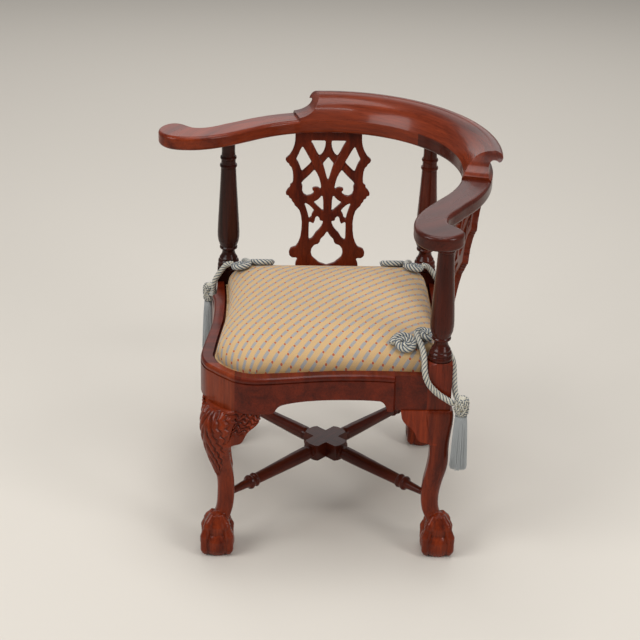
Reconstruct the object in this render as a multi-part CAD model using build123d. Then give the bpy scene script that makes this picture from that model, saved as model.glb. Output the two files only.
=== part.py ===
from build123d import *
import math
import os

os.makedirs("parts", exist_ok=True)

# A child's corner chair: three turned posts and a front leg carry a square seat frame that stands on its
# corner. Millimetres, +Z up, origin on the floor under the middle of the seat. The front corner is -Y, the
# back post +Y, the right post +X and the left post -X.
# Each side of the seat is drawn in its own directions: "along" runs beside the rail, "out" away from it.

# Driving sizes of the seat frame
HALF_SIDE = 150.0          # half the distance between neighbouring corner centres
BLOCK = 33.2               # side of the square part of a post
RAIL_BOTTOM = 237.0        # height of the underside of the seat rails
RAIL_TALL = 54.5           # height of a seat rail
RAIL_INSET = 15.5          # distance from a corner's centre in to a rail's inner face
LEDGE_DROP = 10.8          # depth of the step that carries the drop-in seat, below the rails' top
QUIRK_DROP = 7.7           # height of the rail's bead, above the groove under it
QUIRK_TALL = 1.6           # height of that groove
QUIRK_DEEP = 2.2           # depth of that groove
CORNER_BULGE = 8.9         # how far the rounded front corner stands out from the corner's centre
ARCH_RISE = 16.5           # how far the shaped underside of a rail rises
ARCH_HALF = 78.0           # half the width of that shaped underside
TENON_LONG = 8.4           # length of a rail's tenon
TENON_THICK = 10.0         # thickness of a rail's tenon
TENON_TALL = 28.0          # height of a rail's tenon
FIT = 0.1                  # clearance around a tenon or dowel

# Driving sizes of the legs
FOOT_OUT = 12.9            # how far a foot's centre lies outside its corner's centre
BALL = 21.5                # radius of the ball that a foot grips
BALL_HEIGHT = 17.5         # height of that ball's middle
TOE = 5.2                  # radius of a toe
KNUCKLE = 6.8              # radius of a toe's knuckle
LEG_DOWEL = 7.0            # radius of the dowel that joins a leg to its post
LEG_DOWEL_LONG = 22.0      # height of that dowel above the leg
BRACKET_LONG = 38.0        # length of a knee bracket along its rail
BRACKET_DROP = 56.0        # height of a knee bracket
BRACKET_IN = 3.0           # how far a knee bracket's back face lies inside the corner's centre
PLAIN_PROUD = 18.6         # how far the face of a plain knee bracket lies outside it
CARVED_PROUD = 29.5        # how far the face of a carved knee bracket lies outside it

# Driving sizes of the stretchers
STRETCHER_HEIGHT = 85.5    # height of the stretchers' centre line
CROSS_BLOCK = 25.4         # side of the square middle of a stretcher
CROSS_HALF = 34.5          # half the length of that square middle
STRETCHER_SHORT = 9.6      # how far a stretcher's end, inside the leg, lies inside the corner's centre
STRETCHER_TIP = 5.0        # radius of a stretcher where it enters the leg

# Driving sizes of the posts, arms and crest
SHOULDER_RISE = 18.0       # how far a post's square part stands above the rails
COLUMN = 205.5             # height of a post's turned part
ARM_THICK = 21.0           # thickness of the arms
ARM_EDGE = 5.2             # rounding of the arms' edges
ARM_IN = 30.1              # how far the arms reach inside the post's centre
ARM_OUT = 11.5             # how far they reach outside it
ARM_SWEEP = 8.0            # angle above the X axis where the arms leave the round
POST_TENON = 6.0           # radius of the tenon on a post
POST_TENON_LONG = 13.0     # height of the tenon on a post
CREST_HEIGHT = 30.0        # height of the crest above the arms
CREST_START = 31.0         # angle above the X axis where the crest's foot ends
CREST_RAMP = 39.0          # length of the shaped slope at each end of the crest
CREST_DOWEL = 4.0          # radius of the dowels under the crest
CREST_DOWEL_LONG = 11.0    # how far a dowel stands up into the crest, and down into the arm

# Driving sizes of the splats
SPLAT_THICK = 9.0          # thickness of a splat
SPLAT_OUT = 13.6           # how far the foot of a splat lies outside the corners' line
SPLAT_GRIP = 6.0           # how far a splat goes up into the arm
SPLAT_SINK = 2.0           # height of a splat's foot above the rail, inside its shoe
SHOE_HALF = 60.0           # half the length of a splat's shoe
SHOE_TALL = 10.0           # height of a splat's shoe
SHOE_OUT = 6.6             # how far a shoe's inner face lies outside the corners' line
SHOE_DEEP = 14.0           # depth of a shoe

# Driving sizes of the drop-in seat
SEAT_REST = 0.3            # gap between the seat and the step that carries it
SEAT_TALL = 53.5           # height of the seat in the middle
BOARD_THICK = 7.0          # thickness of the seat board
COVER_THICK = 1.8          # thickness of the cover
SEAT_GAP = 1.2             # gap between the seat and the rails
POST_GAP = 2.0             # gap between the seat and the posts
DUST_THICK = 0.8           # thickness of the dust cover under the board
SEAT_OUT = 5.4             # how far the seat's straight sides lie outside the corners' line
SEAT_HOLLOW_OUT = 2.4      # the same at the hollow of a front side
SEAT_SWELL_OUT = 15.0      # the same at the swelling near the front corner
SEAT_SWELL_BACK = 41.0     # how far along that swelling lies from the corner's centre
SEAT_SHY = 15.0            # distance from the seat's front corner to the rounded front corner
SEAT_ROUND = 24.0          # rounding of the other three corners

# Driving sizes of the glue blocks and screws
GLUE_LONG = 50.0           # length of a glue block along each rail
GLUE_CLIP = 14.0           # the part of the corner that a block leaves open
GLUE_UP = 9.0              # height of a block's underside above the rails' underside
GLUE_DOWN = 8.7            # how far a block's top lies below the seat's step
SCREW_HEAD = 4.0           # radius of a screw's head
SCREW_SHANK = 1.9          # radius of a screw's shank
SCREW_LONG = 34.0          # length of a screw

# Driving sizes of the ties
CORD = 8.6                 # thickness of the tie cord
COIL_CORD = 6.6            # thickness of the cord in a rosette
COIL_FIRST = 4.0           # radius of a rosette's first half turn
COIL_STEP = 3.65           # growth of the radius with every half turn
LARGE_TURNS = 4            # half turns in a large rosette
SMALL_TURNS = 3            # half turns in a small rosette
TASSEL_REACH = 255.0       # distance from the middle to a tassel
TASSEL_HEAD = 12.0         # radius of a tassel's head
TASSEL_TOP = 267.0         # top of a tassel's head
TASSEL_NECK = 237.0        # where the head ends and the skirt starts
TASSEL_FOOT = 154.0        # bottom of a tassel's skirt
SKIRT = 13.0               # radius of a tassel's skirt at the bottom

# Sizes that follow from these
ROOT2 = math.sqrt(2.0)
HALF_BLOCK = BLOCK / 2
BLOCK_FACE = HALF_SIDE + HALF_BLOCK
BLOCK_BACK = HALF_SIDE - HALF_BLOCK
POST_REACH = HALF_SIDE * ROOT2
RAIL_TOP = RAIL_BOTTOM + RAIL_TALL
RAIL_INNER = HALF_SIDE - RAIL_INSET
CORNER_SEAM = RAIL_INNER - 0.5
LEDGE = RAIL_TOP - LEDGE_DROP
QUIRK_HIGH = RAIL_TOP - QUIRK_DROP
QUIRK_LOW = QUIRK_HIGH - QUIRK_TALL
CORNER_REACH = POST_REACH + CORNER_BULGE
FOOT_REACH = POST_REACH + FOOT_OUT
BRACKET_BACK = HALF_SIDE - BRACKET_IN
STRETCHER_END = POST_REACH - STRETCHER_SHORT
SHOULDER_TOP = RAIL_TOP + SHOULDER_RISE
ARM_UNDER = SHOULDER_TOP + COLUMN
ARM_TOP = ARM_UNDER + ARM_THICK
ARM_INNER = POST_REACH - ARM_IN
ARM_OUTER = POST_REACH + ARM_OUT
SPLAT_FOOT = HALF_SIDE + SPLAT_OUT
SPLAT_HEAD = (ARM_INNER + ARM_OUTER) / 2 + 1.7
SPLAT_RISE = ARM_UNDER - RAIL_TOP
SHOE_BACK = HALF_SIDE + SHOE_OUT
SHOE_FACE = SHOE_BACK + SHOE_DEEP
SEAT_BASE = LEDGE + SEAT_REST
SEAT_SIDE = HALF_SIDE + SEAT_OUT
GLUE_LOW = RAIL_BOTTOM + GLUE_UP
GLUE_HIGH = LEDGE - GLUE_DOWN
LOW_CUT = RAIL_BOTTOM - 40.0
HIGH_CUT = ARM_UNDER + 10.0
FAR = HALF_SIDE * 2
TURNS = {"right": 0, "back": 90, "left": 180, "front": -90}
PARTS = {}


def keep(name, shape):
    """Note a finished sub-part under its name."""
    PARTS[name] = shape


def side(shape, quarter):
    """Turn a shape drawn beside a rail (along = X, out = -Y) to one of the four sides."""
    return Rot(0, 0, 45 + 90 * quarter) * shape


def flip(shape):
    """Mirror a shape from the right half of the chair to the left half."""
    return mirror(shape, about=Plane.YZ)


def spot(along, out, height):
    """Point given along and out from the front right rail."""
    return Vector((along + out) / ROOT2, (along - out) / ROOT2, height)


def box(low, high):
    """Box between two corners."""
    size = [high[i] - low[i] for i in range(3)]
    middle = [(high[i] + low[i]) / 2 for i in range(3)]
    return Pos(*middle) * Box(*size)


def turned(profile):
    """Solid of revolution round Z from (radius, height) points joined by straight lines."""
    points = [(0, profile[0][1])] + profile + [(0, profile[-1][1])]
    line = Plane.XZ * Polyline(*points, close=True)
    return revolve(make_face(line), Axis.Z)


def prism(points, low, high):
    """Straight-sided solid over a closed polygon."""
    return Pos(0, 0, low) * extrude(make_face(Polyline(*points, close=True)), high - low)


# The rounded outline that the rails share

# Outer edge of a front rail from the post to the front corner, as the share of the half side along it and the
# distance that it lies outside the corners' line
FRONT_EDGE = [(0.5733, 23.2), (0.4133, 19.8), (0.2, 19.2), (0.0, 20.2), (-0.2, 23.6), (-0.4467, 29.2),
              (-0.6333, 32.6), (-0.7533, 32.6), (-0.8333, 29.6), (-0.9067, 24.6)]


def inset_edge(inset):
    """The whole front edge, right post to left post, moved inwards by an inset, as world points."""
    apex = CORNER_REACH / ROOT2
    half = [spot(share * HALF_SIDE, HALF_SIDE + proud, 0) for share, proud in FRONT_EDGE]
    half.append(spot(-(apex - 8.6), apex + 7.8, 0))
    points = half + [Vector(0, -CORNER_REACH, 0)] + [Vector(-p.X, p.Y, 0) for p in reversed(half)]
    moved = []
    for i, point in enumerate(points):
        before = points[max(i - 1, 0)]
        after = points[min(i + 1, len(points) - 1)]
        along = (after - before).normalized()
        moved.append(point + Vector(along.Y, -along.X, 0) * inset)
    return moved


def front_face(inset):
    """Plan of the two front rails and the corner, out to the moved edge and in to the rails' inner faces."""
    edge = inset_edge(inset)
    start, end = edge[0], edge[-1]
    near = RAIL_INNER
    inner = [spot(BLOCK_BACK, near, 0), spot(-near, near, 0), spot(-near, -BLOCK_BACK, 0)]
    step = FRONT_EDGE[0][0] * HALF_SIDE + 3.0
    right = [spot(step, BLOCK_FACE, 0), spot(BLOCK_BACK, BLOCK_FACE, 0)]
    left = [Vector(-p.X, p.Y, 0) for p in reversed(right)]
    back = Polyline(end, *left, inner[2], inner[1], inner[0], right[1], right[0], start)
    return make_face(Curve() + [Spline(*edge), back])


def front_frame():
    """The front rails and corner in one piece, with the bead along the top edge."""
    body = Pos(0, 0, RAIL_BOTTOM) * extrude(front_face(0), QUIRK_LOW - RAIL_BOTTOM)
    groove = Pos(0, 0, QUIRK_LOW) * extrude(front_face(QUIRK_DEEP), QUIRK_HIGH - QUIRK_LOW)
    bead_tall = RAIL_TOP - QUIRK_HIGH
    steps = [(0.0, 0.9), (0.45, 0.2), (0.8, 1.2), (1.0, 3.4)]
    bead = [Pos(0, 0, QUIRK_HIGH + bead_tall * t) * front_face(inset) for t, inset in steps]
    return body + groove + loft(bead, ruled=True)


# The drop-in seat: straight at the back, gently hollowed at the front, round at the front corner


def seat_plan(grow, share=1.0):
    """Plan of the seat, grown all round and then drawn in to a share of its size."""
    s = SEAT_SIDE + grow
    bend = SEAT_ROUND * (1 - 1 / ROOT2)
    cut = s - SEAT_ROUND
    tip = s - bend
    swell = HALF_SIDE + SEAT_SWELL_OUT + grow
    apex = (CORNER_REACH - SEAT_SHY + grow) / ROOT2
    hollow = HALF_SIDE + SEAT_HOLLOW_OUT + grow
    reach = HALF_SIDE - SEAT_SWELL_BACK
    turn = (0.0, hollow + 1.2)
    near, deep = 0.413 * HALF_SIDE, 0.387 * HALF_SIDE
    between = (turn[1] + swell) / 2 + 1.0

    def place(along, out):
        point = spot(along, out, 0)
        return Vector(point.X * share, point.Y * share, 0)

    edges = [
        Line(place(s, -cut), place(s, cut)),
        ThreePointArc(place(s, cut), place(tip, tip), place(cut, s)),
        ThreePointArc(place(cut, s), place(near, hollow), place(*turn)),
        ThreePointArc(place(*turn), place(-deep, between), place(-reach, swell)),
        ThreePointArc(place(-reach, swell), place(-apex, apex), place(-swell, reach)),
        ThreePointArc(place(-swell, reach), place(-between, deep), place(-turn[1], -turn[0])),
        ThreePointArc(place(-turn[1], -turn[0]), place(-hollow, -near), place(-s, -cut)),
        ThreePointArc(place(-s, -cut), place(-tip, -tip), place(-cut, -s)),
        Line(place(-cut, -s), place(cut, -s)),
        ThreePointArc(place(cut, -s), place(tip, -tip), place(s, -cut)),
    ]
    return make_face(Curve() + edges)


# Height of the seat's surface as a share of its rise, against how far in from the edge it lies
SEAT_SWELLING = [(0.0, 0.986), (0.13, 1.0), (0.3, 0.994), (0.45, 0.976), (0.58, 0.942),
                 (0.7, 0.886), (0.815, 0.788), (0.915, 0.62), (0.972, 0.4), (1.0, 0.12)]


def seat_dome(shrink):
    """Crowned solid of the seat, its skin moved inwards by a distance."""
    rise = SEAT_TALL - shrink
    sections = []
    for tall, share in SEAT_SWELLING:
        sections.append(Pos(0, 0, SEAT_BASE + rise * tall) * seat_plan(-shrink, share))
    return loft(sections, ruled=True)


def post_cuts(gap):
    """Square notches that leave room for the three posts."""
    start = BLOCK_BACK - gap
    cuts = []
    for turn in (0, 90, 180):
        corner = box((start, -FAR, LOW_CUT), (FAR, -start, HIGH_CUT))
        cuts.append(Rot(0, 0, 45 + turn) * corner)
    return cuts


def make_seat():
    """Board, padding, cover and dust cover of the drop-in seat."""
    skin = seat_dome(0) - post_cuts(POST_GAP)
    core = seat_dome(COVER_THICK) - post_cuts(POST_GAP + COVER_THICK)
    split = SEAT_BASE + BOARD_THICK
    lower = box((-FAR, -FAR, SEAT_BASE - 1), (FAR, FAR, split))
    keep("seat_cover", skin - core)
    keep("seat_board", core & lower)
    keep("seat_padding", core - lower)
    under = RAIL_INNER - 4.0
    sheet = box((-under, -under, SEAT_BASE - DUST_THICK), (under, under, SEAT_BASE))
    keep("seat_dust_cover", Rot(0, 0, 45) * sheet - post_cuts(POST_GAP + 6.0))


def rail_tenons(low, high):
    """Tenons at both ends of a rail that runs between two distances along a side."""
    middle = (RAIL_BOTTOM + LEDGE) / 2
    near, far = HALF_SIDE - TENON_THICK / 2, HALF_SIDE + TENON_THICK / 2
    bottom, top = middle - TENON_TALL / 2, middle + TENON_TALL / 2
    left = box((low - TENON_LONG, -far, bottom), (low, -near, top))
    right = box((high, -far, bottom), (high + TENON_LONG, -near, top))
    return [left, right]


def arch_cut():
    """Shaped opening under a rail, drawn along X and cut through in Y."""
    h, rise = ARCH_HALF, ARCH_RISE
    low = RAIL_BOTTOM
    start = Line((-h - 5, low - 1), (-h - 5, low))
    ogee = Spline((-h - 5, low), (-h + 2, low + 0.45 * rise), (-h + 12, low + 0.8 * rise),
                  tangents=((1, 0.2), (1, 0.2)))
    crown = Spline((-h + 12, low + 0.8 * rise), (0, low + rise), (h - 12, low + 0.93 * rise),
                   tangents=((1, 0.2), (1, -0.05)))
    quarter = Spline((h - 12, low + 0.93 * rise), (h - 3, low + 0.55 * rise), (h, low),
                     tangents=((1, -0.05), (0.1, -1)))
    close = Polyline((h, low), (h, low - 1), (-h - 5, low - 1))
    face = make_face(Curve() + [start, ogee, crown, quarter, close])
    return extrude(Plane.XZ * face, FAR, both=True)


def make_rails():
    """Four seat rails and the block at the front corner."""
    whole = front_frame()
    room = Pos(0, 0, LEDGE) * extrude(seat_plan(SEAT_GAP), SEAT_TALL)
    whole = whole - room
    right_zone = side(box((-CORNER_SEAM, -FAR, LOW_CUT), (BLOCK_BACK, -CORNER_SEAM, HIGH_CUT)), 0)
    left_zone = flip(right_zone)
    arch = side(arch_cut() & box((-FAR, -FAR, LOW_CUT), (FAR, -CORNER_SEAM, HIGH_CUT)), 0)
    tenons = [side(t, 0) for t in rail_tenons(-CORNER_SEAM, BLOCK_BACK)]
    right = (whole & right_zone) - arch + tenons
    corner = whole - right_zone - left_zone
    for clear in rail_tenons(-CORNER_SEAM, BLOCK_BACK)[:1]:
        grown = side(offset_box(clear), 0)
        corner = corner - grown - flip(grown)
    corner = corner - leg_dowel_hole("front")
    keep("front_right_rail", right)
    keep("front_left_rail", flip(right))
    keep("front_corner_block", corner)
    straight = box((-BLOCK_BACK, -BLOCK_FACE, RAIL_BOTTOM), (BLOCK_BACK, -RAIL_INNER, RAIL_TOP))
    straight = straight - arch_cut() + rail_tenons(-BLOCK_BACK, BLOCK_BACK)
    for name, quarter in (("back_right_rail", 1), ("back_left_rail", 2)):
        keep(name, side(straight, quarter) - room)


def offset_box(solid):
    """A tenon's pocket: its box grown by the fit on every side."""
    low, high = solid.bounding_box().min, solid.bounding_box().max
    return box((low.X - FIT, low.Y - FIT, low.Z - FIT), (high.X + FIT, high.Y + FIT, high.Z + FIT))


# Outline of a post's turned part, as the radius and the share of the part's height
POST_OUTLINE = [(15.0, -0.0024), (16.4, 0.0073), (16.6, 0.02), (15.6, 0.0326), (15.0, 0.036),
                (15.8, 0.0433), (15.6, 0.056), (14.2, 0.0657), (13.4, 0.0686), (13.6, 0.0803),
                (12.0, 0.092), (10.2, 0.1095), (9.5, 0.127), (9.8, 0.1426), (12.2, 0.1504),
                (13.4, 0.1562), (13.4, 0.1659), (12.4, 0.1727), (13.6, 0.1873), (15.6, 0.2165),
                (16.5, 0.2506), (16.6, 0.2847), (16.1, 0.3431), (15.2, 0.4258), (13.9, 0.5377),
                (12.5, 0.6594), (11.4, 0.7713), (11.2, 0.7908), (12.6, 0.7966), (13.0, 0.8054),
                (12.6, 0.8141), (11.0, 0.82), (10.6, 0.8521), (11.9, 0.8579), (12.4, 0.8667),
                (11.9, 0.8754), (10.4, 0.8813), (9.9, 0.9124)]
POST_HEAD = 10.2           # radius of a post under the arm


def make_posts():
    """Three posts: a square block with a shouldered top, a turned column and a tenon for the arm."""
    square = box((-HALF_BLOCK, -HALF_BLOCK, RAIL_BOTTOM), (HALF_BLOCK, HALF_BLOCK, SHOULDER_TOP + 20))
    square = Pos(POST_REACH, 0, 0) * Rot(0, 0, 45) * square
    corner = HALF_BLOCK * ROOT2
    top = SHOULDER_TOP
    dome = turned([(corner + 2, RAIL_BOTTOM - 1), (corner + 2, top - 7.2), (corner, top - 5.0),
                   (corner - 3.4, top - 1.8), (HALF_BLOCK, top)])
    block = square & (Pos(POST_REACH, 0, 0) * dome)
    column = turned([(r, top + share * COLUMN) for r, share in POST_OUTLINE] + [(POST_HEAD, ARM_UNDER)])
    tenon = Pos(0, 0, ARM_UNDER + POST_TENON_LONG / 2) * Cylinder(POST_TENON, POST_TENON_LONG)
    post = block + Pos(POST_REACH, 0, 0) * (column + tenon)
    near, far = [offset_box(t) for t in rail_tenons(-BLOCK_BACK, BLOCK_BACK)]
    post = post - side(far, 0) - side(near, 1) - leg_dowel_hole("right")
    for name in ("right", "back", "left"):
        keep(name + "_post", Rot(0, 0, TURNS[name]) * post)


def leg_dowel_hole(name):
    """Hole for the dowel on top of a leg."""
    tall = LEG_DOWEL_LONG + 1
    hole = Pos(POST_REACH, 0, RAIL_BOTTOM + tall / 2) * Cylinder(LEG_DOWEL + FIT, tall)
    return Rot(0, 0, TURNS[name]) * hole


# Sections of a leg: share of its height, inner and outer face measured from the corner's centre, rounding of
# its outer corner, rounding of the other corners
PLAIN_LEG = [(1.0, -16.4, 20.0, 5.0, 2.0), (0.9536, -16.0, 21.6, 6.0, 3.0),
             (0.8861, -14.0, 20.8, 7.0, 4.0), (0.8017, -11.0, 19.0, 8.0, 6.0),
             (0.7089, -9.0, 18.2, 8.5, 7.0), (0.6329, -9.7, 18.4, 9.0, 8.0),
             (0.5485, -12.2, 15.6, 9.0, 9.0), (0.481, -14.6, 12.4, 9.5, 9.0),
             (0.4219, -15.9, 10.2, 9.5, 9.5), (0.3376, -16.2, 8.9, 9.5, 9.5),
             (0.2532, -12.2, 12.4, 9.5, 9.5), (0.1857, -6.0, 21.0, 11.0, 11.0)]
CARVED_LEG = [(1.0, -16.4, 28.0, 30.0, 2.0), (0.9536, -16.0, 31.6, 29.0, 3.0),
              (0.8776, -13.0, 32.4, 26.0, 4.0), (0.8017, -10.0, 30.0, 21.0, 6.0),
              (0.7173, -9.0, 25.0, 15.0, 7.0), (0.6414, -10.2, 19.6, 12.0, 8.0),
              (0.5738, -12.2, 14.2, 10.5, 9.0), (0.4979, -14.4, 9.8, 9.5, 9.0),
              (0.4135, -15.5, 8.7, 9.5, 9.5), (0.3376, -15.0, 9.3, 9.5, 9.5),
              (0.2616, -11.8, 12.4, 9.5, 9.5), (0.1857, -6.0, 21.0, 11.0, 11.0)]


def leg_section(share, inner, outer, knee, rest):
    """One level section of the right leg: a square with rounded corners, one of them pointing outwards."""
    height = share * RAIL_BOTTOM
    middle, half = HALF_SIDE + (inner + outer) / 2, (outer - inner) / 2
    arcs = []
    for across, up, radius in ((1, -1, knee), (1, 1, rest), (-1, 1, rest), (-1, -1, rest)):
        centre = Vector(across * (half - radius), up * (half - radius))
        upright = Vector(across * half, centre.Y)
        level = Vector(centre.X, up * half)
        bend = centre + Vector(across, up) * (radius / ROOT2)
        ends = (level, upright) if across * up < 0 else (upright, level)
        arcs.append(ThreePointArc(ends[0], bend, ends[1]))
    lines = [Line(arcs[i] @ 1, arcs[(i + 1) % 4] @ 0) for i in range(4)]
    return Pos(0, 0, height) * Rot(0, 0, 45) * Pos(middle, -middle, 0) * make_face(Curve() + arcs + lines)


def foot():
    """Ball gripped by four toes, round Z, standing on the floor."""
    r = BALL
    route = Plane.XZ * Spline((7.5, 61.0), (13.6, 53.0), (r - 1.8, 44.0), (r + 1.6, 31.0), (r + 1.2, 18.0),
                              (r - 2.4, 8.0))
    toe = sweep(Plane(route @ 0, z_dir=route % 0) * Circle(TOE), path=route)
    joints = [Pos(r - 3.2, 0, 46.0) * Sphere(KNUCKLE), Pos(r + 0.6, 0, 30.0) * Sphere(KNUCKLE)]
    toe = toe + joints + Pos(route @ 1) * Sphere(TOE)
    shape = Pos(0, 0, BALL_HEIGHT) * Sphere(r)
    for angle in (0, 90, 180, 270):
        shape = shape + Rot(0, 0, angle) * toe
    return shape & box((-60, -60, 0), (60, 60, 90))


def make_legs():
    """Four legs on ball feet, each with a dowel on top, and their eight knee brackets."""
    paw = Pos(FOOT_REACH, 0, 0) * foot()
    dowel = Pos(POST_REACH, 0, RAIL_BOTTOM + LEG_DOWEL_LONG / 2) * Cylinder(LEG_DOWEL, LEG_DOWEL_LONG)
    bore = Rot(0, 90, 0) * Cylinder(STRETCHER_TIP + FIT, 30 + 2 * FIT)
    socket = Pos(STRETCHER_END - 15, 0, STRETCHER_HEIGHT) * bore
    shapes = {}
    for kind, sections in (("plain", PLAIN_LEG), ("carved", CARVED_LEG)):
        shaft = loft([leg_section(*section) for section in sections])
        shapes[kind] = shaft + paw + dowel - socket
    for name, turn in TURNS.items():
        kind = "carved" if name == "front" else "plain"
        keep(name + "_leg", Rot(0, 0, turn) * shapes[kind])
    brackets = {"plain": knee_bracket(PLAIN_PROUD), "carved": knee_bracket(CARVED_PROUD)}
    for name, turn in TURNS.items():
        kind = "carved" if name == "front" else "plain"
        right = side(brackets[kind], 0) - shapes[kind]
        across = mirror(right, about=Plane.XZ)
        keep(name + "_bracket_a", Rot(0, 0, turn) * right)
        keep(name + "_bracket_b", Rot(0, 0, turn) * across)


def knee_bracket(proud):
    """Shaped bracket beside the right leg under the front right rail."""
    start = BLOCK_BACK - BRACKET_LONG + 2
    long, drop, top = BRACKET_LONG, BRACKET_DROP, RAIL_BOTTOM
    lip = Line((start, top), (start + 1.5, top - 0.2 * drop))
    hollow = Spline((start + 1.5, top - 0.2 * drop), (start + 0.22 * long, top - 0.4 * drop),
                    (start + 0.47 * long, top - 0.56 * drop), (start + 0.62 * long, top - 0.76 * drop),
                    (start + 0.72 * long, top - 0.87 * drop), (start + 0.95 * long, top - 0.93 * drop),
                    (start + 1.15 * long, top - drop))
    rest = Polyline((start + 1.15 * long, top - drop), (HALF_SIDE, top - drop), (HALF_SIDE, top),
                    (start, top))
    outline = make_face(Curve() + [lip, hollow, rest])
    slab = extrude(Plane.XZ * outline, proud + BRACKET_IN)
    return Pos(0, -BRACKET_BACK, 0) * slab


def make_stretchers():
    """Two turned stretchers that cross in a halved joint under the seat."""
    half = CROSS_BLOCK / 2
    start, end = CROSS_HALF, STRETCHER_END
    outline = [(half * ROOT2, 0.0), (half * ROOT2, start - 4.5), (half + 2.2, start - 1.6),
               (half - 2.8, start), (9.4, start + 3.0), (10.6, start + 8.0), (10.4, start + 30.0)]
    rings = [(8.2, 55.5), (9.8, 54.3), (10.6, 52.3), (9.8, 50.1), (8.6, 48.9), (8.6, 46.1), (10.0, 44.7),
             (10.8, 42.5), (10.0, 40.1), (8.0, 38.7), (6.6, 36.5), (STRETCHER_TIP, 12.5),
             (STRETCHER_TIP, 0.0)]
    arm = turned(outline + [(r, end - before) for r, before in rings])
    square = box((-half, -half, -1), (half, half, CROSS_HALF))
    keep_round = turned([(half * ROOT2 + 1, CROSS_HALF), (half * ROOT2 + 1, STRETCHER_END + 1)])
    shaped = (arm & square) + (arm & keep_round)
    limb = Pos(0, 0, STRETCHER_HEIGHT) * Rot(0, 90, 0) * shaped
    long = limb + Rot(0, 0, 180) * limb
    lap = half
    upper = box((-lap, -lap, STRETCHER_HEIGHT), (lap, lap, STRETCHER_HEIGHT + lap + 1))
    lower = box((-lap, -lap, STRETCHER_HEIGHT - lap - 1), (lap, lap, STRETCHER_HEIGHT))
    keep("stretcher_left_right", long - upper)
    keep("stretcher_front_back", Rot(0, 0, 90) * long - lower)


def arm_plan():
    """Plan of the right arm from the joint behind the back post to its scrolled hand rest."""
    angle = math.radians(ARM_SWEEP)
    ahead = (math.sin(angle), -math.cos(angle))
    outer_end = (ARM_OUTER * math.cos(angle), ARM_OUTER * math.sin(angle))
    inner_end = (ARM_INNER * math.cos(angle), ARM_INNER * math.sin(angle))
    middle = math.radians(45 + ARM_SWEEP / 2)
    outer_mid = (ARM_OUTER * math.cos(middle), ARM_OUTER * math.sin(middle))
    inner_mid = (ARM_INNER * math.cos(middle), ARM_INNER * math.sin(middle))
    scroll = [(14.3, 8.0), (17.9, -12.0), (23.9, -28.0), (33.9, -38.0), (44.9, -39.6), (57.9, -41.0),
              (68.5, -49.0), (71.3, -62.0), (66.5, -77.0), (54.5, -88.5), (39.9, -93.0), (24.9, -90.6),
              (10.9, -81.6), (-2.5, -67.5), (-13.5, -49.0), (-21.1, -28.0), (-25.9, -8.0), (-29.2, 10.0)]
    hand = [outer_end] + [(POST_REACH + out, y) for out, y in scroll] + [inner_end]
    edges = [
        ThreePointArc((0, ARM_OUTER), outer_mid, outer_end),
        Spline(*hand, tangents=(ahead, (-ahead[0], -ahead[1]))),
        ThreePointArc(inner_end, inner_mid, (0, ARM_INNER)),
        Line((0, ARM_INNER), (0, ARM_OUTER)),
    ]
    return make_face(Curve() + edges)


def splat_place(shape):
    """Lean a splat drawn upright (along = X, height from its foot = Z) to its place beside a rail."""
    lean = math.degrees(math.atan2(SPLAT_HEAD - SPLAT_FOOT, SPLAT_RISE))
    return Pos(0, -SPLAT_FOOT, RAIL_TOP) * Rot(lean, 0, 0) * shape


def splat_slot(grow):
    """Box round the head of a splat, for the slot in the arm."""
    half = SPLAT_TOP_HALF + grow
    thick = SPLAT_THICK / 2 + grow
    return splat_place(box((-half, -thick, 0.6 * SPLAT_RISE), (half, thick, splat_tall() + grow)))


def splat_tall():
    """Length of a splat along its lean, with the part inside the arm."""
    rise = SPLAT_RISE + SPLAT_GRIP
    return rise * math.hypot(1, (SPLAT_HEAD - SPLAT_FOOT) / SPLAT_RISE)


def round_edges(part, heights):
    """Round an arm's long edges at some heights; the edges under the crest and at the joints stay sharp."""
    angle = math.radians(CREST_START)
    rims = []
    for edge in part.edges():
        middle = edge.center()
        level = min(abs(middle.Z - height) for height in heights) < 0.01
        seam = abs(middle.Y * math.cos(angle) - middle.X * math.sin(angle)) < 0.01
        if level and not seam and middle.X > 1:
            rims.append(edge)
    return fillet(rims, ARM_EDGE)


def make_arms():
    """Two arms that meet behind the back post, and the crest that bridges the joint."""
    whole = Pos(0, 0, ARM_UNDER) * extrude(arm_plan(), ARM_THICK)
    ahead = Rot(0, 0, CREST_START) * box((0, -FAR, ARM_UNDER - 1), (FAR, 0, ARM_TOP + 1))
    arm = round_edges(whole & ahead, (ARM_UNDER, ARM_TOP)) + round_edges(whole - ahead, (ARM_UNDER,))
    bore = Cylinder(POST_TENON + FIT, POST_TENON_LONG + 2 * FIT)
    for turn in (0, 90):
        arm = arm - Rot(0, 0, turn) * Pos(POST_REACH, 0, ARM_UNDER + POST_TENON_LONG / 2) * bore
    arm = arm - side(splat_slot(FIT), 1)
    arm = arm - [crest_dowel(angle, FIT) for angle in CREST_DOWELS if angle < 90]
    keep("right_arm", arm)
    keep("left_arm", flip(arm))
    keep("crest_rail", make_crest())
    dowels = [crest_dowel(angle, 0) for angle in CREST_DOWELS]
    keep("crest_dowels", Compound(children=dowels))


CREST_DOWELS = (50.0, 72.0, 108.0, 130.0)


def crest_dowel(angle, grow):
    """One dowel between an arm and the crest."""
    reach = (ARM_INNER + ARM_OUTER) / 2
    long = 2 * CREST_DOWEL_LONG + 2 * grow
    peg = Pos(reach, 0, ARM_TOP) * Cylinder(CREST_DOWEL + grow, long)
    return Rot(0, 0, angle) * peg


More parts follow.
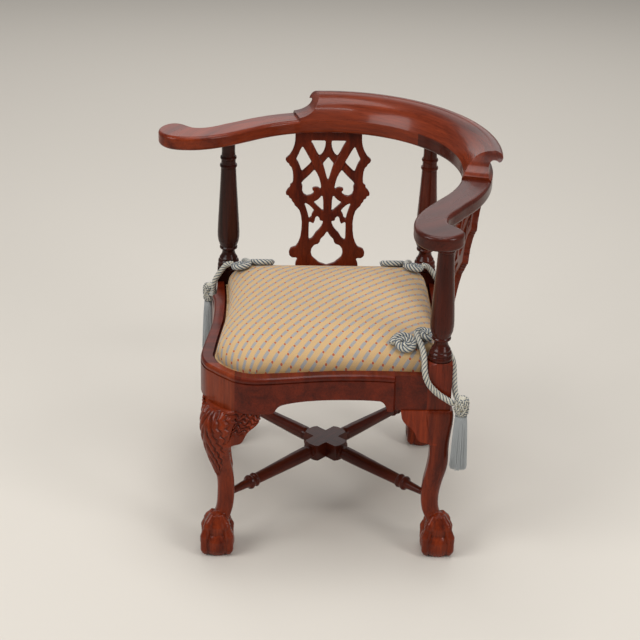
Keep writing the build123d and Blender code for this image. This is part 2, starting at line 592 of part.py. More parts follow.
def make_crest():
    """Hollow-fronted crest that rolls back into a lip, with a shaped slope at each end."""
    base, tall = ARM_TOP, CREST_HEIGHT
    inner, outer = ARM_INNER, ARM_OUTER - 0.8
    front = Spline((inner, base), (inner + 6.0, base + 0.34 * tall), (inner + 15.0, base + 0.72 * tall),
                   (inner + 25.4, base + 0.91 * tall), (inner + 39.6, base + tall))
    lip = Spline((inner + 39.6, base + tall), (outer + 9.4, base + 0.96 * tall),
                 (outer + 13.4, base + 0.83 * tall), (outer + 12.6, base + 0.69 * tall),
                 (outer + 8.0, base + 0.6 * tall))
    under = Spline((outer + 8.0, base + 0.6 * tall), (outer + 3.4, base + 0.66 * tall),
                   (outer - 2.4, base + 0.62 * tall), (outer - 5.4, base + 0.45 * tall),
                   (outer - 4.6, base + 0.2 * tall), (outer, base))
    foot_line = Line((outer, base), (inner, base))
    section = make_face(Plane.XZ * (Curve() + [front, lip, under, foot_line]))
    span = 180 - 2 * CREST_START
    crest = Rot(0, 0, CREST_START) * revolve(section, Axis.Z, span)
    ramp = crest_ramp()
    crest = crest - ramp - flip(ramp)
    return crest - [crest_dowel(angle, FIT) for angle in CREST_DOWELS]


def crest_ramp():
    """Waste above the shaped slope at the right end of the crest."""
    base, tall, ramp = ARM_TOP, CREST_HEIGHT, CREST_RAMP
    slope = Spline((0, base + 0.13 * tall), (0.26 * ramp, base + 0.20 * tall),
                   (0.56 * ramp, base + 0.42 * tall), (0.78 * ramp, base + 0.75 * tall),
                   (1.06 * ramp, base + 1.08 * tall))
    rest = Polyline((1.06 * ramp, base + 1.08 * tall), (1.06 * ramp, base + 2 * tall),
                    (-2 * ramp, base + 2 * tall), (-2 * ramp, base + 0.13 * tall), (0, base + 0.13 * tall))
    waste = extrude(Plane.YZ * make_face(Curve() + [slope, rest]), 120)
    return Rot(0, 0, CREST_START) * Pos(ARM_INNER - 30, 0, 0) * waste


# Right half of a splat's outline, from the arm down to the shoe, as half width and share of its height
SPLAT_TOP_HALF = 50.5
SPLAT_EDGE = [
    (50.4, 0.949), (50.6, 0.915), (51.7, 0.887), (54.3, 0.853), (58.8, 0.819), (64.3, 0.798), (64.9, 0.787),
    (62.8, 0.77), (59.7, 0.762), (58.7, 0.749), (55.6, 0.737), (53.7, 0.707), (53.0, 0.673), (53.2, 0.64),
    (54.5, 0.628), (57.4, 0.621), (57.4, 0.604), (61.2, 0.588), (64.0, 0.566), (63.3, 0.548), (59.4, 0.544),
    (58.7, 0.529), (55.3, 0.522), (54.3, 0.506), (51.4, 0.494), (50.1, 0.478), (46.5, 0.464), (42.6, 0.442),
    (40.3, 0.408), (39.0, 0.363), (39.3, 0.312), (40.8, 0.261), (43.9, 0.222), (47.8, 0.194), (51.7, 0.19),
    (55.8, 0.181), (58.1, 0.159), (57.4, 0.134), (53.2, 0.117), (47.8, 0.117), (44.7, 0.114), (46.5, 0.098),
    (48.0, 0.08)]
# Openings of a splat: those on one half, which are mirrored, and those on its middle line
SPLAT_SIDE_HOLES = [
    [(27.4, 0.919), (4.5, 0.919), (4.9, 0.881), (7.1, 0.85), (10.3, 0.828), (14.0, 0.818), (18.1, 0.847),
     (22.6, 0.887)],
    [(39.7, 0.881), (35.5, 0.853), (30.4, 0.814), (25.6, 0.773), (29.7, 0.754), (34.9, 0.732), (40.1, 0.711),
     (42.0, 0.735), (45.2, 0.769), (48.8, 0.794), (45.9, 0.819), (42.6, 0.853)],
    [(20.9, 0.721), (17.3, 0.701), (13.7, 0.669), (11.4, 0.633), (10.1, 0.599), (11.6, 0.59), (14.0, 0.601),
     (17.6, 0.605), (22.0, 0.602), (24.0, 0.593), (23.0, 0.58), (20.7, 0.578), (22.0, 0.562), (26.4, 0.549),
     (32.0, 0.545), (36.7, 0.557), (39.0, 0.581), (38.5, 0.612), (40.3, 0.628), (37.2, 0.647), (31.0, 0.672),
     (25.1, 0.699)],
    [(8.3, 0.556), (6.7, 0.509), (6.2, 0.438), (11.4, 0.459), (16.5, 0.48), (21.7, 0.503), (15.5, 0.516),
     (10.9, 0.536)],
    [(36.2, 0.499), (29.7, 0.486), (24.5, 0.467), (20.2, 0.444), (22.7, 0.43), (24.5, 0.412), (23.5, 0.403),
     (26.4, 0.396), (27.9, 0.384), (29.7, 0.419), (32.8, 0.463)],
    [(28.0, 0.37), (24.5, 0.361), (21.2, 0.355), (19.1, 0.374), (18.1, 0.397), (15.5, 0.406), (12.4, 0.396),
     (11.6, 0.378), (9.6, 0.373), (6.7, 0.376), (6.7, 0.362), (9.0, 0.335), (12.9, 0.312), (17.6, 0.292),
     (21.2, 0.265), (23.8, 0.251), (28.0, 0.243), (28.2, 0.312)],
]
SPLAT_MIDDLE_HOLES = [
    [(0.0, 0.808), (4.1, 0.785), (8.0, 0.765), (5.2, 0.723), (2.3, 0.678), (0.0, 0.647)],
    [(0.0, 0.302), (4.7, 0.27), (9.6, 0.25), (10.9, 0.228), (13.2, 0.215), (19.4, 0.206), (23.3, 0.183),
     (24.3, 0.154), (22.5, 0.126), (18.1, 0.108), (12.0, 0.0846), (0.0, 0.0667)],
]


def make_splats():
    """Two pierced splats and the shoes that hold their feet on the back rails."""
    climb = math.hypot(1, (SPLAT_HEAD - SPLAT_FOOT) / SPLAT_RISE)

    def upright(points, sign=1):
        return [(sign * x, share * SPLAT_RISE * climb) for x, share in points]

    def half(sign):
        edge = upright(SPLAT_EDGE, sign)
        top = [(0, splat_tall()), (sign * SPLAT_TOP_HALF, splat_tall())]
        foot_end = [(edge[-1][0], SPLAT_SINK), (0, SPLAT_SINK)]
        return [Polyline(*top, *edge, *foot_end)]

    board = make_face(Curve() + half(1) + half(-1))
    holes = []
    for points in SPLAT_SIDE_HOLES:
        holes += [make_face(Polyline(*upright(points, sign), close=True)) for sign in (1, -1)]
    for points in SPLAT_MIDDLE_HOLES:
        ring = upright(points) + upright(points[-2:0:-1], -1)
        holes.append(make_face(Polyline(*ring, close=True)))
    board = board - holes
    splat = splat_place(extrude(Plane.XZ * board, SPLAT_THICK / 2, both=True))
    step = box((-SHOE_HALF, -SHOE_FACE, RAIL_TOP), (SHOE_HALF, -SHOE_BACK, RAIL_TOP + SHOE_TALL))
    tops = [e for e in step.edges() if abs(e.center().Z - RAIL_TOP - SHOE_TALL) < 0.01]
    shoe = chamfer(tops, 1.6)
    heel = SPLAT_EDGE[-1][0] + FIT
    thick = SPLAT_THICK / 2 + FIT
    shoe = shoe - splat_place(box((-heel, -thick, SPLAT_SINK - FIT), (heel, thick, 4 * SHOE_TALL)))
    for name, quarter in (("right", 1), ("left", 2)):
        keep(name + "_splat", side(splat, quarter))
        keep(name + "_splat_shoe", side(shoe, quarter))


def make_glue_blocks():
    """Four blocks glued inside the corners of the frame, each with two screws into the rails."""
    inner = RAIL_INNER
    plan = [(inner - GLUE_CLIP, -inner), (inner - GLUE_LONG, -inner), (inner, -(inner - GLUE_LONG)),
            (inner, -(inner - GLUE_CLIP))]
    block = prism(plan, GLUE_LOW, GLUE_HIGH)
    middle = (GLUE_LOW + GLUE_HIGH) / 2
    screws = []
    for share in (-1, 1):
        face = inner - GLUE_LONG / 2
        start = Vector(face + share * 9.0, -(face - share * 9.0), middle)
        along = Vector(1, 0, 0) if share > 0 else Vector(0, -1, 0)
        screws.append(screw(start, along))
    holes = [hole for _, hole in screws]
    pins = [pin for pin, _ in screws]
    group = []
    for name, quarter in (("right", 0), ("back", 1), ("left", 2), ("front", -1)):
        keep(name + "_glue_block", side(block - holes, quarter))
        group += [side(pin, quarter) for pin in pins]
        for rail in ("front_right_rail", "front_left_rail", "back_right_rail", "back_left_rail"):
            if rail_touches(rail, name):
                keep(rail, PARTS[rail] - [side(hole, quarter) for hole in holes])
    keep("glue_block_screws", Compound(children=group))


def rail_touches(rail, corner):
    """Whether a rail ends at a corner."""
    first, second = rail.split("_")[:2]
    return corner in (first, second)


def screw(start, along):
    """Countersunk wood screw and its hole, from a point on the block's slanted face."""
    place = Plane(start, z_dir=along)
    wide, thin, tip = SCREW_HEAD, SCREW_SHANK, SCREW_LONG
    head = [(wide, 4.0), (wide, 4.6), (thin, 7.0), (thin, tip - 4.0), (0.3, tip)]
    bore = [(wide + 0.3, -8.0), (wide + 0.3, 4.6), (thin + FIT, 7.2), (thin + FIT, tip + 0.4)]
    return place * turned(head), place * turned(bore)


# Route of the front strand of the right tie as (along, out, height), from the small rosette to the tassel
STRAND = [(118.4, 113.8, 330.8), (119.4, 125.0, 329.0), (124.6, 140.0, 324.4), (127.4, 156.4, 315.0),
          (127.4, 170.8, 297.0), (133.0, 172.4, 281.0), (146.0, 172.4, 267.0), (160.0, 173.4, 257.4),
          (169.2, 176.6, 253.4)]
# Route of its back strand
BACK_STRAND = [(144.4, 118.0, 328.6), (152.0, 125.4, 325.0), (159.6, 127.4, 314.0), (170.8, 127.4, 297.0),
               (172.4, 133.0, 281.0), (172.4, 146.0, 267.0), (173.4, 160.0, 257.4), (176.6, 169.2, 253.4)]
LARGE_PLACE = (99.0, 132.0, 325.1)      # middle of the large rosette as (along, out, height)
LARGE_LEAN = (0.0, 0.45)                 # its fall along and out, as slopes
SMALL_PLACE = (130.0, 112.0, 328.4)      # middle of the small rosette
SMALL_LEAN = (0.2, 0.16)                 # its fall along and out


def cord_route(points):
    """Smooth line of straight runs and arcs through a cord's points, and its arcs' radii."""
    world = [spot(*p) for p in points]
    radii = []
    for before, here, after in zip(world, world[1:], world[2:]):
        first, second = here - before, after - here
        turn = math.radians(first.get_angle(second))
        radii.append(0.45 * min(first.length, second.length) / math.tan(turn / 2))
    return FilletPolyline(*world, radius=radii), radii


def tube(path, thick):
    """Round cord along a path."""
    return sweep(Plane(path @ 0, z_dir=path % 0) * Circle(thick / 2), path=path)


def rosette_path(turns):
    """Flat spiral of half turns, from its middle out, ending at the left and heading to -Y."""
    radius, x = COIL_FIRST, 0.0
    flip_sign = 1 if turns % 2 == 0 else -1
    points = []
    for i in range(turns):
        way = flip_sign * (-1 if i % 2 == 0 else 1)
        start = x + way * radius
        end = x - way * radius
        top = radius if way > 0 else -radius
        points.append(((start, 0), (x, top), (end, 0)))
        x = end + way * (radius + COIL_STEP)
        radius = radius + COIL_STEP
    return Curve() + [ThreePointArc(*p) for p in points], points


def coil_gap(points):
    """Least gap between neighbouring turns, measured on points along the spiral."""
    places = []
    for start, middle, end in points:
        centre = ((start[0] + end[0]) / 2, 0.0)
        radius = abs(start[0] - end[0]) / 2
        sign = 1 if middle[1] > 0 else -1
        first = 0.0 if start[0] > centre[0] else math.pi
        for k in range(24):
            angle = first + (sign if start[0] > centre[0] else -sign) * math.pi * k / 24
            places.append((centre[0] + radius * math.cos(angle), radius * math.sin(angle)))
    least = 1e9
    for i, p in enumerate(places):
        for q in places[i + 24:]:
            least = min(least, math.dist(p, q))
    return least - COIL_CORD


def rosette(turns, place, lean):
    """Rosette wound flat from the cord, laid on the slope of the seat."""
    path, points = rosette_path(turns)
    print("rosette of", turns, "half turns: least gap", round(coil_gap(points), 2))
    normal = spot(lean[0], lean[1], 0) + Vector(0, 0, 1)
    plane = Plane(spot(*place), x_dir=spot(1, 0, -lean[0]), z_dir=normal)
    middle = path.bounding_box().center()
    return plane * Pos(-middle.X, -middle.Y, 0) * tube(Wire(path.edges()), COIL_CORD)


def make_ties():
    """Three ties: two rosettes on the seat, two strands round the post and a tassel at its outer corner."""
    front_path, front_radii = cord_route(STRAND)
    back_path, back_radii = cord_route(BACK_STRAND)
    print("strand radii", [round(r, 1) for r in front_radii], [round(r, 1) for r in back_radii])
    pieces = {
        "tie_large_rosette": rosette(LARGE_TURNS, LARGE_PLACE, LARGE_LEAN),
        "tie_small_rosette": rosette(SMALL_TURNS, SMALL_PLACE, SMALL_LEAN),
        "tie_front_strand": tube(front_path, CORD),
        "tie_back_strand": tube(back_path, CORD),
        "tassel_head": tassel_head(),
        "tassel_skirt": tassel_skirt(),
    }
    across = Plane((0, 0, 0), z_dir=spot(0, 1, 0))
    for name, shape in pieces.items():
        keep("right_" + name, shape)
        keep("left_" + name, Rot(0, 0, 180) * shape)
        keep("back_" + name, mirror(shape, about=across))


def tassel_head():
    """Wound knob of a tassel."""
    low, tall, r = TASSEL_NECK, TASSEL_TOP - TASSEL_NECK, TASSEL_HEAD
    knob = turned([(0.55 * r, low), (0.72 * r, low + 0.03 * tall), (0.93 * r, low + 0.24 * tall),
                   (r, low + 0.5 * tall), (0.93 * r, low + 0.74 * tall), (0.7 * r, low + 0.92 * tall),
                   (0.4 * r, TASSEL_TOP)])
    return Pos(TASSEL_REACH, 0, 0) * knob


def tassel_skirt():
    """Hanging threads of a tassel."""
    skirt = turned([(0.82 * SKIRT, TASSEL_FOOT), (SKIRT, TASSEL_FOOT + 3.0),
                    (0.95 * SKIRT, TASSEL_FOOT + 30.0), (0.85 * SKIRT, TASSEL_NECK - 8.0),
                    (0.66 * SKIRT, TASSEL_NECK)])
    return Pos(TASSEL_REACH, 0, 0) * skirt


make_rails()
make_posts()
make_legs()
make_stretchers()
make_arms()
make_splats()
make_glue_blocks()
make_seat()
make_ties()
for node, shape in PARTS.items():
    export_step(shape, os.path.join("parts", node + ".step"))
print(len(PARTS), "sub-parts written")
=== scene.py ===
# %% [markdown]
# A child's corner chair: dark red mahogany, a loose striped seat and twisted cord ties with tassels. The solids
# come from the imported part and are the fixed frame. Everything below dresses them, in metres, in the same frame.

# %% Load the frame
import math
import bmesh
import bpy
from mathutils import Matrix, Vector
from mathutils import noise


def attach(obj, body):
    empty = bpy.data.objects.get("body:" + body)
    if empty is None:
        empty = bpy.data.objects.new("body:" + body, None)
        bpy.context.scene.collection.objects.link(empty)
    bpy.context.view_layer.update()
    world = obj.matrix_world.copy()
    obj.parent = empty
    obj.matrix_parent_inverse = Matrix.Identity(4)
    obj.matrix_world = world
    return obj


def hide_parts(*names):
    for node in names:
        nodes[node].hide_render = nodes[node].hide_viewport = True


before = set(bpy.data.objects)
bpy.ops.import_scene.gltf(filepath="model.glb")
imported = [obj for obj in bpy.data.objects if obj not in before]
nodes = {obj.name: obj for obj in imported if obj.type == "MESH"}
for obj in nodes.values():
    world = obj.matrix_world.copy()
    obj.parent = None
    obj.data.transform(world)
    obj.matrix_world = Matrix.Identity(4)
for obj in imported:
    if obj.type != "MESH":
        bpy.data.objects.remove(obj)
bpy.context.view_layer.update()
scene = bpy.context.scene
scene.view_settings.view_transform = "Standard"

# %% [markdown]
# The camera comes first, because every later choice is judged through it. It looks down a little at the chair from
# its front right side with a long lens, so the four feet and the crest keep their true proportions.

# %% Camera
LENS = 101.0
SENSOR = 36.0
PICTURE = 640
TURN = math.radians(43.15)
DOWN = math.radians(26.29)
ROLL = math.radians(1.40)
CAMERA_AT = Vector((1.5997, -1.7244, 1.4551))

back = Vector((math.sin(TURN) * math.cos(DOWN), -math.cos(TURN) * math.cos(DOWN), math.sin(DOWN)))
level = Vector((math.cos(TURN), math.sin(TURN), 0))
above = back.cross(level)
across = level * math.cos(ROLL) + above * math.sin(ROLL)
upward = above * math.cos(ROLL) - level * math.sin(ROLL)
lens = bpy.data.cameras.new("camera")
lens.lens = LENS
lens.sensor_width = SENSOR
lens.shift_x = -0.5 / PICTURE
camera = bpy.data.objects.new("camera", lens)
turn = Matrix((across, upward, back)).transposed().to_4x4()
camera.matrix_world = Matrix.Translation(CAMERA_AT) @ turn
scene.collection.objects.link(camera)
scene.camera = camera
print("camera at", tuple(round(v, 3) for v in CAMERA_AT))

# %% [markdown]
# Polished wood is read by its reflections, so the light comes from a few large soft panels: one overhead, which draws
# the long highlight on the crest, one far behind, which pales the level tops, and others in front and at the right.
# A narrow strip draws the bright lines along the beads. The surround is dim: a bright one would lie over every face as
# a grey veil and wash the red out of the wood.

# %% Floor and light
def panel(name, at, aim, size, power):
    """Rectangular lamp at a point, facing another."""
    lamp = bpy.data.lights.new(name, "AREA")
    lamp.shape = "RECTANGLE"
    lamp.size, lamp.size_y = size
    lamp.energy = power
    piece = bpy.data.objects.new(name, lamp)
    way = Vector(aim) - Vector(at)
    piece.matrix_world = Matrix.Translation(at) @ way.to_track_quat("-Z", "Y").to_matrix().to_4x4()
    scene.collection.objects.link(piece)


panel("sky_panel", (0.0, 0.3, 2.4), (0, 0.1, 0.3), (1.6, 1.1), 27)
panel("wall_panel", (-1.6, 1.7, 1.5), (0, 0, 0.4), (3.0, 1.4), 15)
panel("front_panel", (-0.6, -2.2, 2.0), (0, 0, 0.3), (1.6, 1.2), 40)
panel("strip_panel", (0.8, -0.75, 2.2), (0.1, -0.1, 0.3), (1.0, 0.14), 6)
panel("right_panel", (2.4, 0.2, 1.6), (0, 0, 0.35), (0.8, 1.2), 22)

world = bpy.data.worlds.new("surround")
world.use_nodes = True
scene.world = world
sky = world.node_tree.nodes["Background"]
sky.inputs["Color"].default_value = (0.80, 0.79, 0.78, 1)
sky.inputs["Strength"].default_value = 0.34

ground = bpy.data.meshes.new("floor")
shape = bmesh.new()
bmesh.ops.create_grid(shape, x_segments=1, y_segments=1, size=6.0)
shape.to_mesh(ground)
shape.free()
floor = bpy.data.objects.new("floor", ground)
scene.collection.objects.link(floor)
paint = bpy.data.materials.new("floor")
paint.use_nodes = True
coat = paint.node_tree.nodes["Principled BSDF"]
coat.inputs["Base Color"].default_value = (0.62, 0.58, 0.52, 1)
coat.inputs["Roughness"].default_value = 0.85
ground.materials.append(paint)

# %% [markdown]
# Mahogany has long soft bands of colour, fine dark pores that run with the grain, and a thin clear finish. The grain
# follows each piece: up the posts, along the rails, round the crest. One helper builds the finish and is told which
# way the grain runs, so that the bands stretch along it.

# %% Mahogany
class Nodes:
    """Short way to add and join the nodes of one material."""

    def __init__(self, name):
        self.material = bpy.data.materials.new(name)
        self.material.use_nodes = True
        self.tree = self.material.node_tree
        self.shader = self.tree.nodes["Principled BSDF"]

    def add(self, kind, **values):
        node = self.tree.nodes.new("ShaderNode" + kind)
        for key, value in values.items():
            if key in node.inputs:
                node.inputs[key].default_value = value
            else:
                setattr(node, key, value)
        return node

    def join(self, source, target):
        self.tree.links.new(source, target)

    def math(self, operation, first, second=None):
        node = self.add("Math", operation=operation)
        for i, value in enumerate((first, second)):
            if value is None:
                continue
            if isinstance(value, (int, float)):
                node.inputs[i].default_value = value
            else:
                self.join(value, node.inputs[i])
        return node.outputs[0]

    def ramp(self, source, *stops):
        node = self.add("ValToRGB")
        bar = node.color_ramp.elements
        while len(bar) < len(stops):
            bar.new(0.5)
        for element, (at, colour) in zip(bar, stops):
            element.position = at
            element.color = tuple(colour) + (1,) if len(colour) == 3 else colour
        self.join(source, node.inputs[0])
        return node.outputs[0]

    def mix(self, share, first, second, blend="MIX"):
        node = self.add("Mix", data_type="RGBA", blend_type=blend)
        for socket, value in ((node.inputs["Factor"], share), (node.inputs[6], first), (node.inputs[7], second)):
            if isinstance(value, (int, float)):
                socket.default_value = value
            elif isinstance(value, tuple):
                socket.default_value = value + (1,)
            else:
                self.join(value, socket)
        return node.outputs[2]

    def bump(self, height, strength, distance):
        node = self.add("Bump", Strength=strength, Distance=distance)
        self.join(height, node.inputs["Height"])
        self.join(node.outputs[0], self.shader.inputs["Normal"])


def grain_space(n, grain):
    """Coordinates whose X runs with the grain: up, across, along a rail's slant, or round the back."""
    place = n.add("TexCoord").outputs["Object"]
    if grain == "round":
        split = n.add("SeparateXYZ")
        n.join(place, split.inputs[0])
        x, y, z = split.outputs
        angle = n.math("ARCTAN2", x, y)
        reach = n.math("SQRT", n.math("ADD", n.math("MULTIPLY", x, x), n.math("MULTIPLY", y, y)))
        joined = n.add("CombineXYZ")
        n.join(n.math("MULTIPLY", angle, 0.2), joined.inputs[0])
        n.join(reach, joined.inputs[1])
        n.join(z, joined.inputs[2])
        return joined.outputs[0]
    turns = {"up": (0, math.pi / 2, 0), "across": (0, 0, 0), "deep": (0, 0, math.pi / 2),
             "slant": (0, 0, -math.pi / 4), "counter": (0, 0, math.pi / 4)}
    mapping = n.add("Mapping", Rotation=turns[grain])
    n.join(place, mapping.inputs["Vector"])
    return mapping.outputs[0]


BLOCK_PAINTED_LIGHT = (2.9, 2.6, 2.0)


def mahogany(name, grain, dark, light, gloss=0.3, hollow_shade_and_wear=False, block=0.0):
    """Polished red wood: bands, streaks, pores and a thin clear coat, and painted lighter below the height of a block,
    for the lit face of the block.
    """
    n = Nodes(name)
    space = grain_space(n, grain)

    def streak(scale, stretch, detail, warp=0.0):
        mapping = n.add("Mapping", Scale=(1.0, stretch, stretch))
        n.join(space, mapping.inputs["Vector"])
        texture = n.add("TexNoise", Scale=scale, Detail=detail, Roughness=0.6, Distortion=warp)
        n.join(mapping.outputs[0], texture.inputs["Vector"])
        return texture.outputs["Fac"]

    bands = streak(5.0, 7.0, 5.0, 0.6)
    fibre = streak(16.0, 22.0, 6.0)
    pores = streak(60.0, 20.0, 2.0)
    middle = tuple((a + b) / 2 for a, b in zip(dark, light))
    colour = n.ramp(bands, (0.3, dark), (0.5, middle), (0.72, light))
    lines = n.ramp(fibre, (0.35, (0.62, 0.58, 0.56)), (0.6, (1.0, 1.0, 1.0)))
    colour = n.mix(0.75, colour, lines, "MULTIPLY")
    specks = n.ramp(pores, (0.36, (0.45, 0.42, 0.4)), (0.46, (1.0, 1.0, 1.0)))
    colour = n.mix(0.55, colour, specks, "MULTIPLY")
    # Painted shade: hollows and creases, found by pointiness, are darkened where shade falls, and sharp edges are made
    # paler as wear.
    if hollow_shade_and_wear:
        edge = n.add("NewGeometry").outputs["Pointiness"]
        shade = n.ramp(edge, (0.42, (0.22, 0.19, 0.18)), (0.5, (1, 1, 1)), (0.58, (1.35, 1.3, 1.25)))
        colour = n.mix(0.9, colour, shade, "MULTIPLY")
    # Painted light: below the given height the colour is made two to three times lighter, standing in for the lit face
    # of the post's square block.
    if block:
        split = n.add("SeparateXYZ")
        n.join(n.add("TexCoord").outputs["Object"], split.inputs[0])
        painted_lit_block = n.math("LESS_THAN", split.outputs[2], block)
        colour = n.mix(painted_lit_block, colour, n.mix(1.0, colour, BLOCK_PAINTED_LIGHT, "MULTIPLY"))
    n.join(colour, n.shader.inputs["Base Color"])
    smudge = streak(7.0, 1.5, 3.0)
    rough = n.add("MapRange")
    n.join(smudge, rough.inputs["Value"])
    rough.inputs["To Min"].default_value = gloss - 0.06
    rough.inputs["To Max"].default_value = gloss + 0.1
    n.join(rough.outputs[0], n.shader.inputs["Roughness"])
    n.shader.inputs["Specular IOR Level"].default_value = 0.14
    n.shader.inputs["Coat Weight"].default_value = 0.14
    n.shader.inputs["Coat Roughness"].default_value = 0.08
    n.bump(fibre, 0.12, 0.0004)
    return n.material


DEEP = (0.055, 0.0054, 0.0016)
RED = (0.165, 0.0180, 0.0045)
SHADE = (0.034, 0.0048, 0.0020)
BROWN = (0.115, 0.0164, 0.0058)
SHOULDER = 0.3095
post_woods = {
    "left_post": mahogany("left_post_mahogany", "up", (0.012, 0.0029, 0.0014), (0.048, 0.0080, 0.0036), 0.24),
    "right_post": mahogany("right_post_mahogany", "up", (0.022, 0.0034, 0.0014), (0.08, 0.0100, 0.0033), 0.24, False,
                           SHOULDER),
    "back_post": mahogany("back_post_mahogany", "up", (0.032, 0.0046, 0.0019), (0.115, 0.0160, 0.0050), 0.24)}
slant_wood = mahogany("rail_mahogany_slant", "slant", DEEP, RED)
counter_wood = mahogany("rail_mahogany_counter", "counter", DEEP, RED)
round_woods = {
    "left_arm": mahogany("left_arm_mahogany", "round", (0.085, 0.0095, 0.0026), (0.260, 0.0370, 0.0085), 0.26),
    "right_arm": mahogany("right_arm_mahogany", "round", (0.036, 0.0064, 0.0033), (0.098, 0.0160, 0.0076), 0.26),
    "crest_rail": mahogany("crest_mahogany", "round", (0.055, 0.0068, 0.0024), (0.205, 0.0310, 0.0090), 0.24)}
stile_wood = mahogany("stile_mahogany", "up", (0.11, 0.0136, 0.0036), (0.25, 0.0376, 0.0086))
leg_wood = mahogany("leg_mahogany", "up", (0.08, 0.0084, 0.0022), (0.25, 0.0328, 0.0065), 0.24, True)
splat_wood = mahogany("splat_mahogany", "up", (0.065, 0.0068, 0.0018), (0.18, 0.0232, 0.0050), 0.3, True)
across_wood = mahogany("stretcher_mahogany_across", "across", SHADE, BROWN)
deep_wood = mahogany("stretcher_mahogany_deep", "deep", SHADE, BROWN)
print("woods", [m.name for m in bpy.data.materials if "mahogany" in m.name])

# %% [markdown]
# The hidden pieces keep plain honest finishes: pale softwood glue blocks and board, beech dowels and dull steel
# screws. They show only from below, so a band of grain and a little roughness are enough.

# %% Inner finishes
def softwood(name, grain, dark, light):
    """Unpolished pale wood with clear growth bands."""
    n = Nodes(name)
    mapping = n.add("Mapping", Scale=(1.0, 14.0, 14.0))
    n.join(grain_space(n, grain), mapping.inputs["Vector"])
    texture = n.add("TexNoise", Scale=6.0, Detail=6.0, Distortion=0.8)
    n.join(mapping.outputs[0], texture.inputs["Vector"])
    n.join(n.ramp(texture.outputs["Fac"], (0.35, dark), (0.62, light)), n.shader.inputs["Base Color"])
    n.shader.inputs["Roughness"].default_value = 0.72
    n.bump(texture.outputs["Fac"], 0.3, 0.0005)
    return n.material


pine = softwood("pine", "slant", (0.36, 0.21, 0.09), (0.60, 0.42, 0.22))
beech = softwood("beech", "up", (0.50, 0.33, 0.18), (0.66, 0.48, 0.30))
steel = Nodes("screw_steel")
scuff = steel.add("TexNoise", Scale=900.0, Detail=3.0)
steel.join(steel.add("TexCoord").outputs["Object"], scuff.inputs["Vector"])
steel.join(steel.ramp(scuff.outputs["Fac"], (0.3, (0.30, 0.29, 0.28)), (0.7, (0.55, 0.54, 0.52))),
           steel.shader.inputs["Base Color"])
steel.shader.inputs["Metallic"].default_value = 1.0
steel.shader.inputs["Roughness"].default_value = 0.42
print("inner finishes", pine.name, beech.name, steel.material.name)

# %% [markdown]
# Each solid that already has its true shape keeps it and only takes a finish. The list pairs a kind of piece with
# the wood whose grain runs its way.

# %% Dress the solids
def dress(node, material):
    """Give one solid its finish."""
    mesh = nodes[node].data
    mesh.materials.clear()
    mesh.materials.append(material)


for name in nodes:
    if name.endswith("_post"):
        dress(name, post_woods[name])
    elif name.endswith(("glue_block", "_board")):
        dress(name, pine)
    elif name in round_woods:
        dress(name, round_woods[name])
    elif "bracket" in name:
        dress(name, leg_wood)
for name in ("front_right_rail", "back_left_rail", "left_splat_shoe"):
    dress(name, counter_wood)
for name in ("front_left_rail", "back_right_rail", "right_splat_shoe"):
    dress(name, slant_wood)
dress("front_corner_block", stile_wood)
dress("stretcher_left_right", across_wood)
dress("stretcher_front_back", deep_wood)
dress("crest_dowels", beech)
dress("glue_block_screws", steel.material)
print("dressed solids")

# %% [markdown]
# A carver's leg has no sharp seams between the ball, the toes and the shank, while the solid is a plain union of
# simple forms. Rows of balls thicken the toes at their knuckles and fill the web between them. A copy is merged,
# rebuilt as one even skin and softened, which melts the forms together as a rasp does.

# %% Legs
SMALL_BALL = 0.01


def evaluated(piece):
    """The mesh of a piece with its modifiers carried out."""
    bpy.context.view_layer.update()
    return bpy.data.meshes.new_from_object(piece.evaluated_get(bpy.context.evaluated_depsgraph_get()))


def copy_solid(name, *sources, balls=()):
    """Merged copy of one or more solids as a new piece, with a few balls added to it."""
    shape = bmesh.new()
    for place, radius in balls:
        fineness = 2 if radius < SMALL_BALL else 4
        bmesh.ops.create_icosphere(shape, subdivisions=fineness, radius=radius, matrix=Matrix.Translation(place))
    for source in sources:
        shape.from_mesh(nodes[source].data)
    bmesh.ops.remove_doubles(shape, verts=shape.verts, dist=1e-6)
    mesh = bpy.data.meshes.new(name)
    shape.to_mesh(mesh)
    shape.free()
    mesh.materials.clear()
    piece = bpy.data.objects.new(name, mesh)
    scene.collection.objects.link(piece)
    return piece


def settle(piece):
    """Carry out the modifiers of a piece and smooth its shading."""
    old = piece.data
    piece.data = evaluated(piece)
    piece.modifiers.clear()
    bpy.data.meshes.remove(old)
    piece.data.polygons.foreach_set("use_smooth", [True] * len(piece.data.polygons))
    return piece


def soft_copy(name, source, voxel, rounds, balls=()):
    """Copy of a solid, rebuilt as one even skin and softened."""
    piece = copy_solid(name, source, balls=balls)
    skin = piece.modifiers.new("skin", "REMESH")
    skin.mode = "VOXEL"
    skin.voxel_size = voxel
    ease = piece.modifiers.new("ease", "SMOOTH")
    ease.factor = 0.5
    ease.iterations = rounds
    return settle(piece)


def finish_piece(piece, material, body, slot, *replaced):
    """Give a piece its finish and body, and hide the solids it stands for. The slot is not used."""
    piece.data.materials.clear()
    piece.data.materials.append(material)
    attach(piece, body)
    if replaced:
        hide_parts(*replaced)


FOOT_REACH = 0.2250
OUTWARD = {"front_leg": (0, -1), "right_leg": (1, 0), "left_leg": (-1, 0), "back_leg": (0, 1)}


MIDDLE_BALLS = [(0.0530, 0.0125), (0.0460, 0.0165), (0.0400, 0.0190), (0.0170, 0.0250)]
TOE_LINE = [(0.0110, 0.0575, 0.0050), (0.0165, 0.0500, 0.0066), (0.0206, 0.0420, 0.0058), (0.0242, 0.0320, 0.0072),
            (0.0256, 0.0220, 0.0056), (0.0252, 0.0120, 0.0060), (0.0232, 0.0050, 0.0042)]
TOE_STEPS = 5


